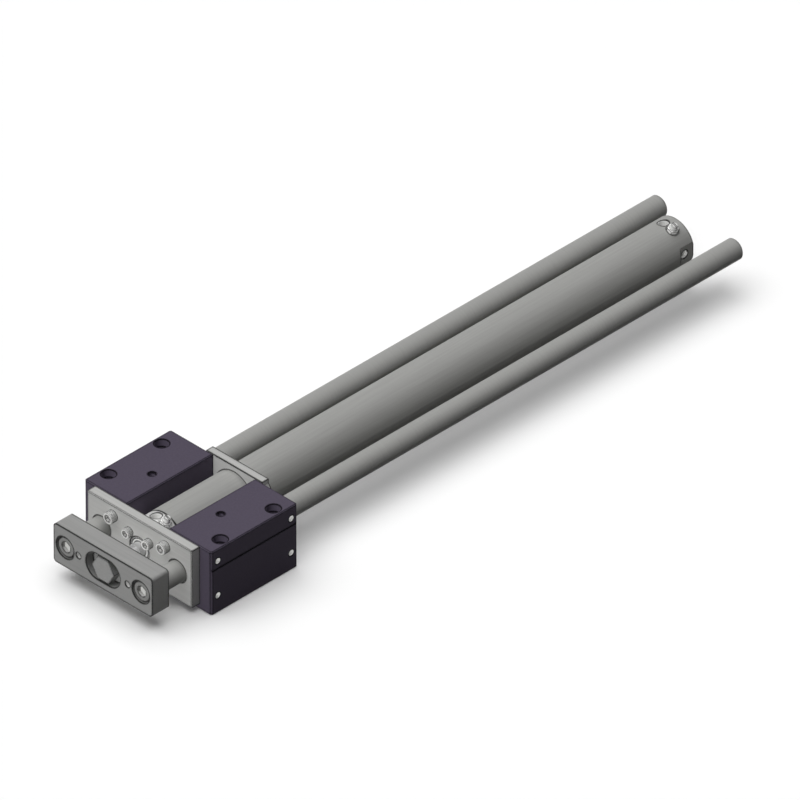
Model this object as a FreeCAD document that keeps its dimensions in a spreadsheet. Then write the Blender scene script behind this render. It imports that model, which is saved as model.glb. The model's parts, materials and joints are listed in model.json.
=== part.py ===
"""Guided pneumatic cylinder: two guide blocks, two guide rods and a long cushioned cylinder.

The frame is the machine builder's: +X to the right, +Y rearward along the cylinder, +Z up.
The origin is the centre of the four base holes, on the underside of the guide blocks.
All lengths are in millimetres and all formulas are written in the names of the size sheet.
"""
import FreeCAD, Part
import os
import re

import Sketcher

SIZES = (
    ("stroke", 475.0, "travel of the piston"),
    ("end_gap", 0.5, "room left before and behind the piston at the ends of its travel"),
    ("bore", 32.0, "inside diameter of the cylinder tube"),
    ("tube_outer", 40.0, "outside diameter of the cylinder tube"),
    ("tube_bevel", 0.8, "bevel round the rear end of the tube"),
    ("head_length", 31.6, "closed rear end of the tube, behind the chamber"),
    ("head_wall", 9.6, "wall behind the rear cushion cavity"),
    ("axis_height", 31.8, "height of the rods and of the cylinder above the base"),
    ("block_width", 45.2, "width of one guide block"),
    ("block_length", 90.5, "length of a guide block"),
    ("block_height", 57.3, "height of a guide block"),
    ("block_gap", 44.0, "gap between the two guide blocks"),
    ("block_bevel", 0.8, "bevel round the top and the foot of a block"),
    ("corner_bevel", 1.5, "bevel on the outer upright corners of a block"),
    ("mount_span_across", 118.0, "base holes, left to right"),
    ("mount_span_along", 55.6, "base holes, front to rear"),
    ("mount_hole", 7.0, "base hole for a 6 mm bolt"),
    ("mount_counterbore", 11.6, "counterbore for the bolt's head"),
    ("mount_counterbore_depth", 7.0, "depth of that counterbore"),
    ("top_hole", 5.0, "tapped grease hole in the top of a block"),
    ("top_hole_depth", 11.0, "depth of the grease hole"),
    ("top_hole_mouth", 6.6, "mouth of the grease hole"),
    ("top_hole_mouth_depth", 0.8, "depth of that mouth"),
    ("grease_passage", 3.0, "passage from the grease hole down to the bore"),
    ("top_hole_across", 72.6, "grease holes, left to right"),
    ("top_hole_forward", 4.8, "grease holes, ahead of the middle of the block"),
    ("side_hole", 5.0, "tapped hole in the outer side of a block"),
    ("side_hole_depth", 11.0, "depth of a side hole"),
    ("side_span_along", 76.7, "side holes, front to rear"),
    ("side_span_up", 31.2, "side holes, lower to upper"),
    ("side_low", 15.6, "height of the lower side holes"),
    ("line_height", 40.0, "height of the fine groove along the outer side"),
    ("line_width", 0.9, "width of that groove"),
    ("line_depth", 0.7, "depth of that groove"),
    ("guide_size", 18.0, "diameter of a guide rod"),
    ("guide_pitch", 80.0, "distance between the guide rods"),
    ("guide_overhang", 9.2, "guide rod left behind the rear flange when fully extended"),
    ("guide_bevel", 1.0, "bevel on the ends of a guide rod"),
    ("guide_tap_depth", 23.0, "tapped hole in the front end of a guide rod"),
    ("centre_mark", 3.0, "centre drilling in the rear end of a guide rod"),
    ("bush_outer", 24.0, "outside diameter of a guide bush"),
    ("bush_length", 30.0, "length of a guide bush"),
    ("bush_shoulder", 20.0, "bore between the two bushes of a block"),
    ("bush_bevel", 0.6, "bevel on the ends of a guide bush"),
    ("bush_groove", 0.5, "depth of the grease grooves inside a guide bush"),
    ("bush_groove_width", 2.0, "width of a grease groove"),
    ("wiper_inset", 0.4, "guide wiper, behind the face of the block"),
    ("wiper_length", 3.2, "length of a guide wiper"),
    ("ring_inset", 4.2, "retaining ring, behind the face of the block"),
    ("ring_thickness", 1.2, "thickness of a retaining ring"),
    ("ring_land", 1.9, "radial width of a retaining ring"),
    ("ring_bite", 0.8, "depth of the groove that holds a retaining ring"),
    ("ring_opening", 7.0, "opening between the ends of a retaining ring"),
    ("ring_room", 0.1, "room beside a retaining ring in its groove"),
    ("front_flange_margin", 15.2, "front flange, beyond the guide rods' axes"),
    ("front_flange_thickness", 8.6, "thickness of the front flange"),
    ("flange_foot", 5.4, "height of the flanges' lower edge above the base"),
    ("flange_bevel", 0.5, "bevel round the front flange"),
    ("flange_screw_inset", 5.7, "flange screws, in from the inner sides of the blocks"),
    ("flange_screw_margin", 7.5, "spread of the flange screws beyond the height above the axis"),
    ("rear_flange_width", 59.0, "width of the rear flange at its upper and lower edge"),
    ("rear_flange_disc", 73.6, "diameter of the round part of the rear flange"),
    ("rear_flange_thickness", 7.0, "thickness of the rear flange"),
    ("rod_notch", 22.0, "clearance round a guide rod in the flanges' edges"),
    ("flange_rod_hole", 19.0, "hole for a guide rod in the front flange"),
    ("cover_size", 39.6, "outside diameter of the rod cover"),
    ("cover_length", 17.0, "rod cover from the front flange to the tube"),
    ("spigot_outer", 34.4, "part of the rod cover that sits in the tube"),
    ("spigot_length", 16.0, "length of that part"),
    ("nose_size", 20.0, "nose of the rod cover, in the front flange"),
    ("nose_length", 8.0, "length of the nose"),
    ("gasket_section", 1.8, "thickness of the tube gasket"),
    ("gasket_groove_width", 2.4, "width of its groove"),
    ("gasket_inset", 3.0, "gasket groove, ahead of the end of the spigot"),
    ("cover_screw_circle", 30.0, "circle of the screws that hold the rod cover"),
    ("cover_tap_depth", 5.6, "depth of their tapped holes"),
    ("rod_size", 12.0, "diameter of the piston rod"),
    ("rod_bevel", 0.8, "bevel on the shoulder of the piston rod"),
    ("rod_standout", 5.2, "piston rod shoulder ahead of the front flange"),
    ("rod_thread", 10.0, "threaded front end of the piston rod"),
    ("rod_tail", 9.5, "piston rod inside the piston and the cushion rings"),
    ("tail_reach", 0.8, "end of the piston rod behind the piston nut"),
    ("rod_bush_outer", 14.0, "outside diameter of the rod bush"),
    ("rod_bush_length", 11.0, "length of the rod bush"),
    ("rod_seal_outer", 17.0, "outside diameter of the rod seal"),
    ("rod_seal_length", 3.4, "length of the rod seal"),
    ("seal_washer", 1.0, "thickness of the washer that keeps the rod seal"),
    ("cushion_cavity", 18.0, "bore round the cushion rings"),
    ("cushion_seal_outer", 22.0, "outside diameter of a cushion seal"),
    ("cushion_seal_length", 3.0, "length of a cushion seal"),
    ("cushion_lip", 3.0, "wall between a cushion seal and the chamber"),
    ("cushion_ring_outer", 17.0, "outside diameter of a cushion ring"),
    ("cushion_front_length", 22.0, "length of the front cushion ring"),
    ("cushion_rear_length", 14.0, "length of the rear cushion ring"),
    ("cushion_lead", 1.2, "lead-in bevel of a cushion ring"),
    ("piston_length", 18.0, "length of the piston"),
    ("piston_gap", 0.25, "radial gap between piston and tube"),
    ("wear_ring_inset", 2.0, "wear ring, behind the front of the piston"),
    ("wear_ring_length", 4.0, "length of the wear ring"),
    ("wear_ring_depth", 1.6, "depth of its groove"),
    ("magnet_inset", 7.4, "magnet ring, behind the front of the piston"),
    ("magnet_length", 2.6, "length of the magnet ring"),
    ("magnet_depth", 2.4, "depth of its groove"),
    ("piston_seal_inset", 11.6, "piston seal, behind the front of the piston"),
    ("piston_seal_length", 3.6, "length of the piston seal"),
    ("piston_seal_depth", 3.0, "depth of its groove"),
    ("piston_nut_flats", 13.0, "piston nut, across its flats"),
    ("piston_nut_height", 5.0, "height of the piston nut"),
    ("port_size", 8.6, "tapped air port"),
    ("port_floor", 8.2, "bottom of the port, above the cylinder axis"),
    ("port_lean", 6.0, "air ports, in degrees from the top towards -X"),
    ("front_port_inset", 11.0, "front port, behind the front flange"),
    ("rear_port_inset", 11.5, "rear port, ahead of the end of the tube"),
    ("needle_angle", 23.0, "cushion needles, in degrees from the top towards +X"),
    ("needle_size", 4.0, "diameter of the smooth part of a cushion needle"),
    ("needle_thread", 5.6, "diameter of the threaded upper part of a needle"),
    ("needle_thread_length", 1.9, "length of that thread in the cylinder"),
    ("needle_orifice", 2.0, "small hole that a needle closes"),
    ("needle_seat", 13.0, "needle shoulder, out from the cylinder axis"),
    ("needle_tip", 1.2, "length of the needle's cone"),
    ("needle_top", 26.0, "top of a needle, out from the cylinder axis"),
    ("needle_bevel", 0.4, "bevel on the top of a needle"),
    ("needle_slot_width", 1.0, "screwdriver slot of a needle"),
    ("needle_slot_depth", 1.2, "depth of that slot"),
    ("needle_neck", 3.0, "thinner part of a needle that the bleed air flows round"),
    ("needle_neck_length", 1.9, "length of that part"),
    ("bleed_size", 1.6, "bleed passage from the chamber to a needle"),
    ("bleed_height", 13.9, "bleed passage, out from the cylinder axis"),
    ("needle_seal_inset", 2.3, "seal groove, out from the needle's shoulder"),
    ("needle_seal_length", 1.3, "length of a needle seal"),
    ("needle_seal_depth", 0.75, "depth of its groove"),
    ("spot_face", 9.7, "flat seat of a needle's lock nut"),
    ("spot_face_floor", 19.0, "that seat, out from the cylinder axis"),
    ("needle_nut_flats", 8.3, "needle lock nut, across its flats"),
    ("needle_nut_height", 3.0, "height of a needle lock nut"),
    ("head_flat", 18.6, "side flat of the head, out from the cylinder axis"),
    ("head_flat_length", 14.2, "length of that flat"),
    ("pivot_hole", 6.8, "tapped hole in the side flat"),
    ("pivot_hole_inset", 9.5, "that hole, ahead of the end of the tube"),
    ("pivot_hole_depth", 6.0, "depth of that hole"),
    ("plate_margin", 12.1, "front plate, beyond the guide rods' axes"),
    ("plate_height", 34.9, "height of the front plate"),
    ("plate_thickness", 17.5, "thickness of the front plate"),
    ("plate_gap", 20.7, "front plate to front flange, fully retracted"),
    ("plate_round", 3.0, "rounded corners of the front plate"),
    ("plate_counterbore", 18.8, "counterbores of the front plate"),
    ("plate_counterbore_depth", 11.0, "depth of those counterbores"),
    ("plate_tool_hole", 5.0, "tapped tool holes of the front plate"),
    ("plate_tool_span", 52.0, "tool holes, left to right"),
    ("slot_width", 36.2, "width of the pocket for the rod end bracket"),
    ("slot_height", 23.0, "height of that pocket"),
    ("slot_depth", 8.0, "depth of that pocket"),
    ("bracket_flats", 20.2, "rod end bracket, across its flats"),
    ("bracket_shank", 16.0, "round part of the rod end bracket"),
    ("bracket_float", 0.5, "side play of the rod end bracket in the plate"),
    ("bracket_bevel", 0.4, "bevel round the hexagon"),
    ("bracket_wall", 6.0, "closed front wall of the bracket's threaded hole"),
    ("bracket_thread_room", 0.8, "room ahead of the rod's thread in the bracket"),
    ("float_washer_outer", 22.0, "washer behind the front plate"),
    ("float_washer_thickness", 2.0, "thickness of that washer"),
    ("lock_nut_flats", 17.0, "rod lock nut, across its flats"),
    ("lock_nut_height", 6.0, "height of the rod lock nut"),
    ("flange_screw_shank", 6.0, "screws of the front flange into the blocks"),
    ("flange_screw_head", 10.0, "their heads"),
    ("flange_screw_head_height", 6.0, "height of their heads"),
    ("flange_screw_socket", 5.0, "their hexagon sockets"),
    ("flange_screw_length", 20.0, "their length"),
    ("cover_screw_shank", 5.0, "screws of the front flange into the rod cover"),
    ("cover_screw_head", 8.5, "their heads"),
    ("cover_screw_head_height", 5.0, "height of their heads"),
    ("cover_screw_socket", 4.0, "their hexagon sockets"),
    ("cover_screw_length", 14.0, "their length"),
    ("rear_screw_shank", 5.0, "screws of the rear flange"),
    ("rear_screw_head", 8.5, "their heads"),
    ("rear_screw_head_height", 3.5, "height of their heads"),
    ("rear_screw_socket", 3.0, "their hexagon sockets"),
    ("rear_screw_margin", 2.5, "the same for the screws of the rear flange"),
    ("rear_screw_sink", 3.7, "depth of the counterbores that sink their heads"),
    ("rear_screw_counterbore", 9.5, "diameter of those counterbores"),
    ("rear_screw_length", 14.0, "their length"),
    ("guide_screw_shank", 10.0, "screws of the front plate into the guide rods"),
    ("guide_screw_head", 16.0, "their heads"),
    ("guide_screw_head_height", 10.0, "height of their heads"),
    ("guide_screw_socket", 8.0, "their hexagon sockets"),
    ("guide_screw_length", 25.0, "their length"),
    ("screw_bevel", 0.6, "bevel on a screw's head and tip"),
    ("hole_play", 0.3, "radial room of a screw in a plain hole"),
    ("tap_room", 1.5, "tapped hole beyond the tip of its screw"),
    ("fit_gap", 0.02, "radial gap of pieces that are pressed or screwed together"),
    ("run_gap", 0.03, "radial gap of pieces that slide or turn on each other"),
    ("seat_gap", 0.05, "gap left beside seals in their grooves"),
)

PLACES = {
    "blocks_front": "-block_length / 2",
    "blocks_rear": "block_length / 2",
    "flange_front": "blocks_front - front_flange_thickness",
    "plate_rear": "flange_front - plate_gap",
    "plate_front": "plate_rear - plate_thickness",
    "tube_front": "blocks_front + cover_length",
    "chamber_front": "tube_front + spigot_length",
    "piston_rest": "chamber_front + end_gap + stroke",
    "chamber_rear": "piston_rest + piston_length + end_gap",
    "tube_rear": "chamber_rear + head_length",
    "front_port": "blocks_front + front_port_inset",
    "rear_port": "tube_rear - rear_port_inset",
    "guide_rear": "blocks_rear + rear_flange_thickness + stroke + guide_overhang",
    "guide_length": "guide_rear - plate_rear",
    "bush_inset": "ring_inset + ring_thickness + ring_room",
    "rod_front": "flange_front - rod_standout",
    "bracket_floor": "plate_front + slot_depth",
    "bracket_rear": "plate_rear + float_washer_thickness",
    "bracket_mouth": "plate_front + bracket_wall",
    "thread_front": "bracket_mouth + bracket_thread_room",
    "cushion_front": "piston_rest - cushion_front_length",
    "piston_back": "piston_rest + piston_length",
    "cushion_back": "piston_back + cushion_rear_length",
    "tail_end": "cushion_back + piston_nut_height + tail_reach",
    "spigot_bore": "spigot_outer + 2 * fit_gap",
    "flange_screw_across": "block_gap + 2 * flange_screw_inset",
    "flange_screw_up": "block_height - axis_height + flange_screw_margin",
    "rear_screw_up": "block_height - axis_height + rear_screw_margin",
    "needle_step": "spot_face_floor - needle_thread_length",
    "gasket_floor": "spigot_bore / 2 - gasket_section - 2 * fit_gap",
    "cushion_mouth": "cushion_ring_outer + 2 * (cushion_cavity - cushion_ring_outer)",
}

NAMES = {name for name, value, note in SIZES}

document = FreeCAD.newDocument("GuidedCylinder")
exported = []


def formula(text):
    """Expand a formula in plain size and place names into one that reads the sheet."""
    def expand(match):
        word = match.group(0)
        if word in PLACES:
            return "(" + formula(PLACES[word]) + ")"
        return "Dims." + word if word in NAMES else word
    return re.sub(r"[a-z_]{3,}", expand, str(text))


def bind(thing, item, text):
    """Tie one property of a document object to a formula."""
    thing.setExpression(item, formula(text))


def make_sheet():
    """Write the driving dimensions, one row each: name, value and what it is."""
    sheet = document.addObject("Spreadsheet::Sheet", "Dims")
    for row, (name, value, note) in enumerate(SIZES, start=1):
        sheet.set(f"A{row}", name)
        sheet.set(f"B{row}", str(value))
        sheet.set(f"C{row}", note)
        sheet.setAlias(f"B{row}", name)
    document.recompute()
    return sheet


def locate(thing, x="0", y="0", z="axis_height"):
    """Bind the place of a sub-part; by default it stands on the cylinder axis."""
    for axis, text in (("x", x), ("y", y), ("z", z)):
        if text != "0":
            bind(thing, f"Placement.Base.{axis}", text)


def new_body(name, x="0", y="0", z="axis_height", keep=True):
    """Start a sub-part as a body of its own, at its place."""
    body = document.addObject("PartDesign::Body", name)
    body.Label = name
    if keep:
        locate(body, x, y, z)
        exported.append(body)
    return body


def new_sketch(body, plane, offset="0", tilt=None):
    """Open a sketch on an origin plane of the body, lifted along the plane's normal.

    With a tilt the plane is turned about the Y axis first, so that it faces outwards
    at that angle from the top.
    """
    sketch = body.newObject("Sketcher::SketchObject", "Sketch")
    role = plane + "_Plane"
    base = next(item for item in body.Origin.OriginFeatures if item.Role == role)
    sketch.AttachmentSupport = [(base, "")]
    sketch.MapMode = "FlatFace"
    if tilt is None:
        if offset != "0":
            bind(sketch, "AttachmentOffset.Base.z", offset)
        return sketch
    turned = FreeCAD.Rotation(FreeCAD.Vector(0, 1, 0), 1)
    sketch.AttachmentOffset = FreeCAD.Placement(FreeCAD.Vector(), turned)
    bind(sketch, "AttachmentOffset.Rotation.Angle", f"{tilt} * 1 deg")
    bind(sketch, "AttachmentOffset.Base.x", f"({offset}) * sin({tilt} * 1 deg)")
    bind(sketch, "AttachmentOffset.Base.z", f"({offset}) * cos({tilt} * 1 deg)")
    return sketch


def pin_point(sketch, shape, corner, x, y):
    """Dimension one point of the sketch from its origin by two formulas."""
    for kind, axis, text in (("DistanceX", -2, x), ("DistanceY", -1, y)):
        if text == "0":
            sketch.addConstraint(Sketcher.Constraint("PointOnObject", shape, corner, axis))
            continue
        index = sketch.addConstraint(Sketcher.Constraint(kind, -1, 1, shape, corner, 1.0))
        bind(sketch, f"Constraints[{index}]", text)


def draw_outline(sketch, points):
    """Draw a closed outline of straight lines through points given as formulas."""
    count = len(points)
    first = sketch.GeometryCount
    for index in range(count):
        start = FreeCAD.Vector(1 + index, 1 + index * index, 0)
        after = (index + 1) % count
        end = FreeCAD.Vector(1 + after, 1 + after * after, 0)
        sketch.addGeometry(Part.LineSegment(start, end), False)
    for index in range(count):
        after = first + (index + 1) % count
        sketch.addConstraint(Sketcher.Constraint("Coincident", first + index, 2, after, 1))
    for index, (x, y) in enumerate(points):
        pin_point(sketch, first + index, 1, x, y)


def draw_rectangle(sketch, left, right, low, high):
    """Draw a rectangle between two pairs of formulas."""
    draw_outline(sketch, ((left, low), (right, low), (right, high), (left, high)))


def draw_circle(sketch, x, y, diameter):
    """Draw a circle at a point, with its diameter."""
    plain = Part.Circle(FreeCAD.Vector(1, 1, 0), FreeCAD.Vector(0, 0, 1), 1)
    shape = sketch.addGeometry(plain, False)
    pin_point(sketch, shape, 3, x, y)
    index = sketch.addConstraint(Sketcher.Constraint("Diameter", shape, 2.0))
    bind(sketch, f"Constraints[{index}]", diameter)


def draw_hexagon(sketch, flats):
    """Draw a hexagon with level flats, by the distance across them."""
    half = f"{flats} / 2"
    side = f"{flats} / 2 * tan(30 deg)"
    corner = f"{flats} / 2 / cos(30 deg)"
    draw_outline(sketch, (
        (corner, "0"), (side, half), (f"-{side}", half),
        (f"-{corner}", "0"), (f"-{side}", f"-{half}"), (side, f"-{half}"),
    ))


def draw_obround(sketch, width, height):
    """Draw a level slot with round ends about the sketch's origin."""
    up = FreeCAD.Vector(0, 0, 1)
    shapes = [
        Part.ArcOfCircle(Part.Circle(FreeCAD.Vector(2, 0, 0), up, 1), -1.5708, 1.5708),
        Part.LineSegment(FreeCAD.Vector(2, 1, 0), FreeCAD.Vector(-2, 1, 0)),
        Part.ArcOfCircle(Part.Circle(FreeCAD.Vector(-2, 0, 0), up, 1), 1.5708, -1.5708),
        Part.LineSegment(FreeCAD.Vector(-2, -1, 0), FreeCAD.Vector(2, -1, 0)),
    ]
    right, top, left, foot = [sketch.addGeometry(shape, False) for shape in shapes]
    for one, its_end, two, two_end in (
        (right, 2, top, 1), (top, 2, left, 1), (left, 2, foot, 1), (foot, 2, right, 1),
    ):
        sketch.addConstraint(Sketcher.Constraint("Tangent", one, its_end, two, two_end))
    reach = f"({width} - {height}) / 2"
    pin_point(sketch, right, 3, reach, "0")
    pin_point(sketch, left, 3, f"-{reach}", "0")
    index = sketch.addConstraint(Sketcher.Constraint("Radius", right, 1.0))
    bind(sketch, f"Constraints[{index}]", f"{height} / 2")


def pad(body, sketch, length, along_normal=True, both_ways=False):
    """Raise material from a sketch."""
    feature = body.newObject("PartDesign::Pad", "Pad")
    feature.Profile = sketch
    bind(feature, "Length", length)
    feature.Reversed = not along_normal
    if both_ways:
        feature.SideType = "Symmetric"
    return feature


def cut_through(body, sketch, along_normal=True):
    """Cut everything that lies over the sketch, to one side of it."""
    feature = body.newObject("PartDesign::Pocket", "Pocket")
    feature.Profile = sketch
    feature.Type = "ThroughAll"
    feature.Reversed = along_normal
    return feature


def spin(body, points, kind="PartDesign::Revolution"):
    """Turn a section about the Y axis; its points are (radius, place along Y)."""
    sketch = new_sketch(body, "XY")
    draw_outline(sketch, points)
    feature = body.newObject(kind, kind.split("::")[1])
    feature.Profile = sketch
    feature.ReferenceAxis = (sketch, ["V_Axis"])
    return feature


def dress(body, base, kind, edges, size):
    """Round or bevel named edges of the last feature."""
    feature = body.newObject("PartDesign::" + kind, kind)
    feature.Base = (base, edges)
    bind(feature, "Radius" if kind == "Fillet" else "Size", size)
    return feature


def find_edges(feature, test):
    """Names of the edges of a feature whose two end points pass the test."""
    document.recompute()
    found = []
    for index, edge in enumerate(feature.Shape.Edges, start=1):
        points = [vertex.Point for vertex in edge.Vertexes]
        if len(points) == 2 and test(points[0], points[1], feature.Shape.BoundBox):
            found.append(f"Edge{index}")
    return found


def near(one, two):
    """True when two lengths are the same."""
    return abs(one - two) < 1e-4


def outer_uprights(one, two, box):
    """Upright edges at either end of a block, on the side away from the other block."""
    outer = box.XMax if abs(box.XMax) > abs(box.XMin) else box.XMin
    return near(one.x, two.x) and near(one.y, two.y) and near(one.x, outer)


def level_rims(one, two, box):
    """Edges that lie in the top or in the foot of a block."""
    in_top = near(one.z, box.ZMax) and near(two.z, box.ZMax)
    return in_top or (near(one.z, box.ZMin) and near(two.z, box.ZMin))


def long_corners(one, two, box):
    """Edges along Y."""
    return near(one.x, two.x) and near(one.z, two.z)


def front_rims(one, two, box):
    """Straight edges round the front face."""
    return near(one.y, box.YMin) and near(two.y, box.YMin)


def make_guide_block(side, name):
    """One black guide block: bores for two bushes, and its mounting holes."""
    inner = f"{side} * (block_gap / 2 - guide_pitch / 2)"
    outer = f"{side} * (block_gap / 2 + block_width - guide_pitch / 2)"
    body = new_body(name, x=f"{side} * guide_pitch / 2")
    outline = new_sketch(body, "XZ")
    draw_rectangle(outline, inner, outer, "-axis_height", "block_height - axis_height")
    block = pad(body, outline, "block_length", both_ways=True)
    uprights = find_edges(block, outer_uprights)
    block = dress(body, block, "Chamfer", uprights, "corner_bevel")
    dress(body, block, "Chamfer", find_edges(block, level_rims), "block_bevel")

    seat = "bush_outer / 2 + fit_gap"
    grip = "bush_outer / 2 + ring_bite"
    middle = "bush_shoulder / 2"
    half = []
    for end, overshoot in (("-", "- 1"), ("", "+ 1")):
        face = f"{end}block_length / 2"
        inward = "+" if end else "-"
        ring_out = f"{face} {inward} ring_inset"
        ring_in = f"{face} {inward} bush_inset"
        shoulder = f"{face} {inward} (bush_inset + bush_length)"
        points = [
            ("0", f"{face} {overshoot}"), (seat, f"{face} {overshoot}"),
            (seat, ring_out), (grip, ring_out), (grip, ring_in), (seat, ring_in),
            (seat, shoulder), (middle, shoulder),
        ]
        half.append(points)
    spin(body, half[0] + half[1][::-1], "PartDesign::Groove")

    bolt_x = f"{side} * (mount_span_across / 2 - guide_pitch / 2)"
    for floor, diameter in (
        ("-axis_height", "mount_hole"),
        ("block_height - axis_height - mount_counterbore_depth", "mount_counterbore"),
    ):
        holes = new_sketch(body, "XY", floor)
        for end in ("-", ""):
            draw_circle(holes, bolt_x, f"{end}mount_span_along / 2", diameter)
        cut_through(body, holes)

    grease_x = f"{side} * (top_hole_across / 2 - guide_pitch / 2)"
    for floor, diameter in (
        ("0", "grease_passage"),
        ("block_height - axis_height - top_hole_depth", "top_hole"),
        ("block_height - axis_height - top_hole_mouth_depth", "top_hole_mouth"),
    ):
        hole = new_sketch(body, "XY", floor)
        draw_circle(hole, grease_x, "-top_hole_forward", diameter)
        cut_through(body, hole)

    side_holes = new_sketch(body, "YZ", f"{outer} - {side} * side_hole_depth")
    for end in ("-", ""):
        for height in ("side_low - axis_height", "side_low + side_span_up - axis_height"):
            draw_circle(side_holes, f"{end}side_span_along / 2", height, "side_hole")
    cut_through(body, side_holes, along_normal=side > 0)

    screw_x = f"{side} * (flange_screw_across / 2 - guide_pitch / 2)"
    front_depth = "flange_screw_length - front_flange_thickness + tap_room"
    rear_depth = "rear_screw_length - rear_flange_thickness + rear_screw_sink + tap_room"
    for screw, up, floor, forward in (
        ("flange_screw", "flange_screw_up", f"block_length / 2 - ({front_depth})", True),
        ("rear_screw", "rear_screw_up", f"-block_length / 2 + {rear_depth}", False),
    ):
        holes = new_sketch(body, "XZ", floor)
        for end in ("-", ""):
            draw_circle(holes, screw_x, f"{end}{up} / 2", f"{screw}_shank + 2 * fit_gap")
        cut_through(body, holes, along_normal=forward)

    line = new_sketch(body, "XZ", "-block_length")
    line_z = "line_height - axis_height"
    draw_rectangle(line, f"{outer} - {side} * line_depth", f"{outer} + {side} * line_depth",
                   f"{line_z} - line_width / 2", f"{line_z} + line_width / 2")
    cut_through(body, line)
    return body


def draw_four(sketch, across, up, diameter):
    """Four circles on the corners of a rectangle about the sketch's origin."""
    for left in ("-", ""):
        for low in ("-", ""):
            draw_circle(sketch, f"{left}({across}) / 2", f"{low}({up}) / 2", diameter)


COVER_SCREW_SPAN = "cover_screw_circle * sin(45 deg)"


def make_front_flange():
    """The plate that ties the blocks together in front and carries the rod cover."""
    body = new_body("front_flange", y="blocks_front")
    outline = new_sketch(body, "XZ")
    half_width = "(guide_pitch / 2 + front_flange_margin)"
    draw_rectangle(outline, "-" + half_width, half_width,
                   "flange_foot - axis_height", "block_height - axis_height")
    plate = pad(body, outline, "front_flange_thickness")
    dress(body, plate, "Chamfer", find_edges(plate, front_rims), "flange_bevel")
    holes = new_sketch(body, "XZ")
    draw_circle(holes, "0", "0", "nose_size + 2 * seat_gap")
    for left in ("-", ""):
        draw_circle(holes, f"{left}guide_pitch / 2", "0", "flange_rod_hole")
    draw_four(holes, "flange_screw_across", "flange_screw_up",
              "flange_screw_shank + 2 * hole_play")
    draw_four(holes, COVER_SCREW_SPAN, COVER_SCREW_SPAN,
              "cover_screw_shank + 2 * hole_play")
    cut_through(body, holes)
    return body


def make_rear_flange():
    """The plate that ties the blocks together behind, fitted between the guide rods."""
    body = new_body("rear_flange", y="blocks_rear")
    disc = new_sketch(body, "XZ")
    draw_circle(disc, "0", "0", "rear_flange_disc")
    pad(body, disc, "rear_flange_thickness", along_normal=False)
    upright = new_sketch(body, "XZ")
    draw_rectangle(upright, "-rear_flange_width / 2", "rear_flange_width / 2",
                   "flange_foot - axis_height", "block_height - axis_height")
    pad(body, upright, "rear_flange_thickness", along_normal=False)
    below = new_sketch(body, "XZ")
    draw_rectangle(below, "-rear_flange_disc", "rear_flange_disc",
                   "-axis_height - rear_flange_disc", "flange_foot - axis_height")
    cut_through(body, below, along_normal=False)
    above = new_sketch(body, "XZ")
    draw_rectangle(above, "-rear_flange_disc", "rear_flange_disc",
                   "block_height - axis_height", "block_height + rear_flange_disc")
    cut_through(body, above, along_normal=False)
    holes = new_sketch(body, "XZ")
    draw_circle(holes, "0", "0", "tube_outer + 2 * seat_gap")
    draw_four(holes, "flange_screw_across", "rear_screw_up",
              "rear_screw_shank + 2 * hole_play")
    cut_through(body, holes, along_normal=False)
    sinks = new_sketch(body, "XZ", "rear_screw_sink - rear_flange_thickness")
    draw_four(sinks, "flange_screw_across", "rear_screw_up", "rear_screw_counterbore")
    cut_through(body, sinks, along_normal=False)
    notches = new_sketch(body, "XZ")
    for left in ("-", ""):
        draw_circle(notches, f"{left}guide_pitch / 2", "0", "rod_notch")
    cut_through(body, notches, along_normal=False)
    return body


def make_front_plate():
    """The plate that joins the guide rods and takes the load."""
    body = new_body("front_plate", y="plate_rear")
    outline = new_sketch(body, "XZ")
    half_width = "(guide_pitch / 2 + plate_margin)"
    draw_rectangle(outline, "-" + half_width, half_width,
                   "-plate_height / 2", "plate_height / 2")
    plate = pad(body, outline, "plate_thickness")
    dress(body, plate, "Fillet", find_edges(plate, long_corners), "plate_round")
    holes = new_sketch(body, "XZ")
    draw_circle(holes, "0", "0", "bracket_shank + 2 * bracket_float")
    for left in ("-", ""):
        draw_circle(holes, f"{left}guide_pitch / 2", "0", "guide_screw_shank + 2 * hole_play")
        draw_circle(holes, f"{left}plate_tool_span / 2", "0", "plate_tool_hole")
    cut_through(body, holes)
    heads = new_sketch(body, "XZ", "plate_thickness - plate_counterbore_depth")
    for left in ("-", ""):
        draw_circle(heads, f"{left}guide_pitch / 2", "0", "plate_counterbore")
    cut_through(body, heads)
    pocket = new_sketch(body, "XZ", "plate_thickness - slot_depth")
    draw_obround(pocket, "slot_width", "slot_height")
    cut_through(body, pocket)
    return body


def make_guide_rod(side, name):
    """One guide rod, tapped in front and centre-drilled behind."""
    body = new_body(name, x=f"{side} * guide_pitch / 2", y="plate_rear")
    radius = "guide_size / 2"
    tap = "guide_screw_shank / 2 + fit_gap"
    spin(body, (
        (tap, "0"), (f"{radius} - guide_bevel", "0"), (radius, "guide_bevel"),
        (radius, "guide_length - guide_bevel"), (f"{radius} - guide_bevel", "guide_length"),
        ("centre_mark / 2", "guide_length"), ("0", "guide_length - centre_mark"),
        ("0", "guide_tap_depth + guide_screw_shank / 4"), (tap, "guide_tap_depth"),
    ))
    return body


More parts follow.
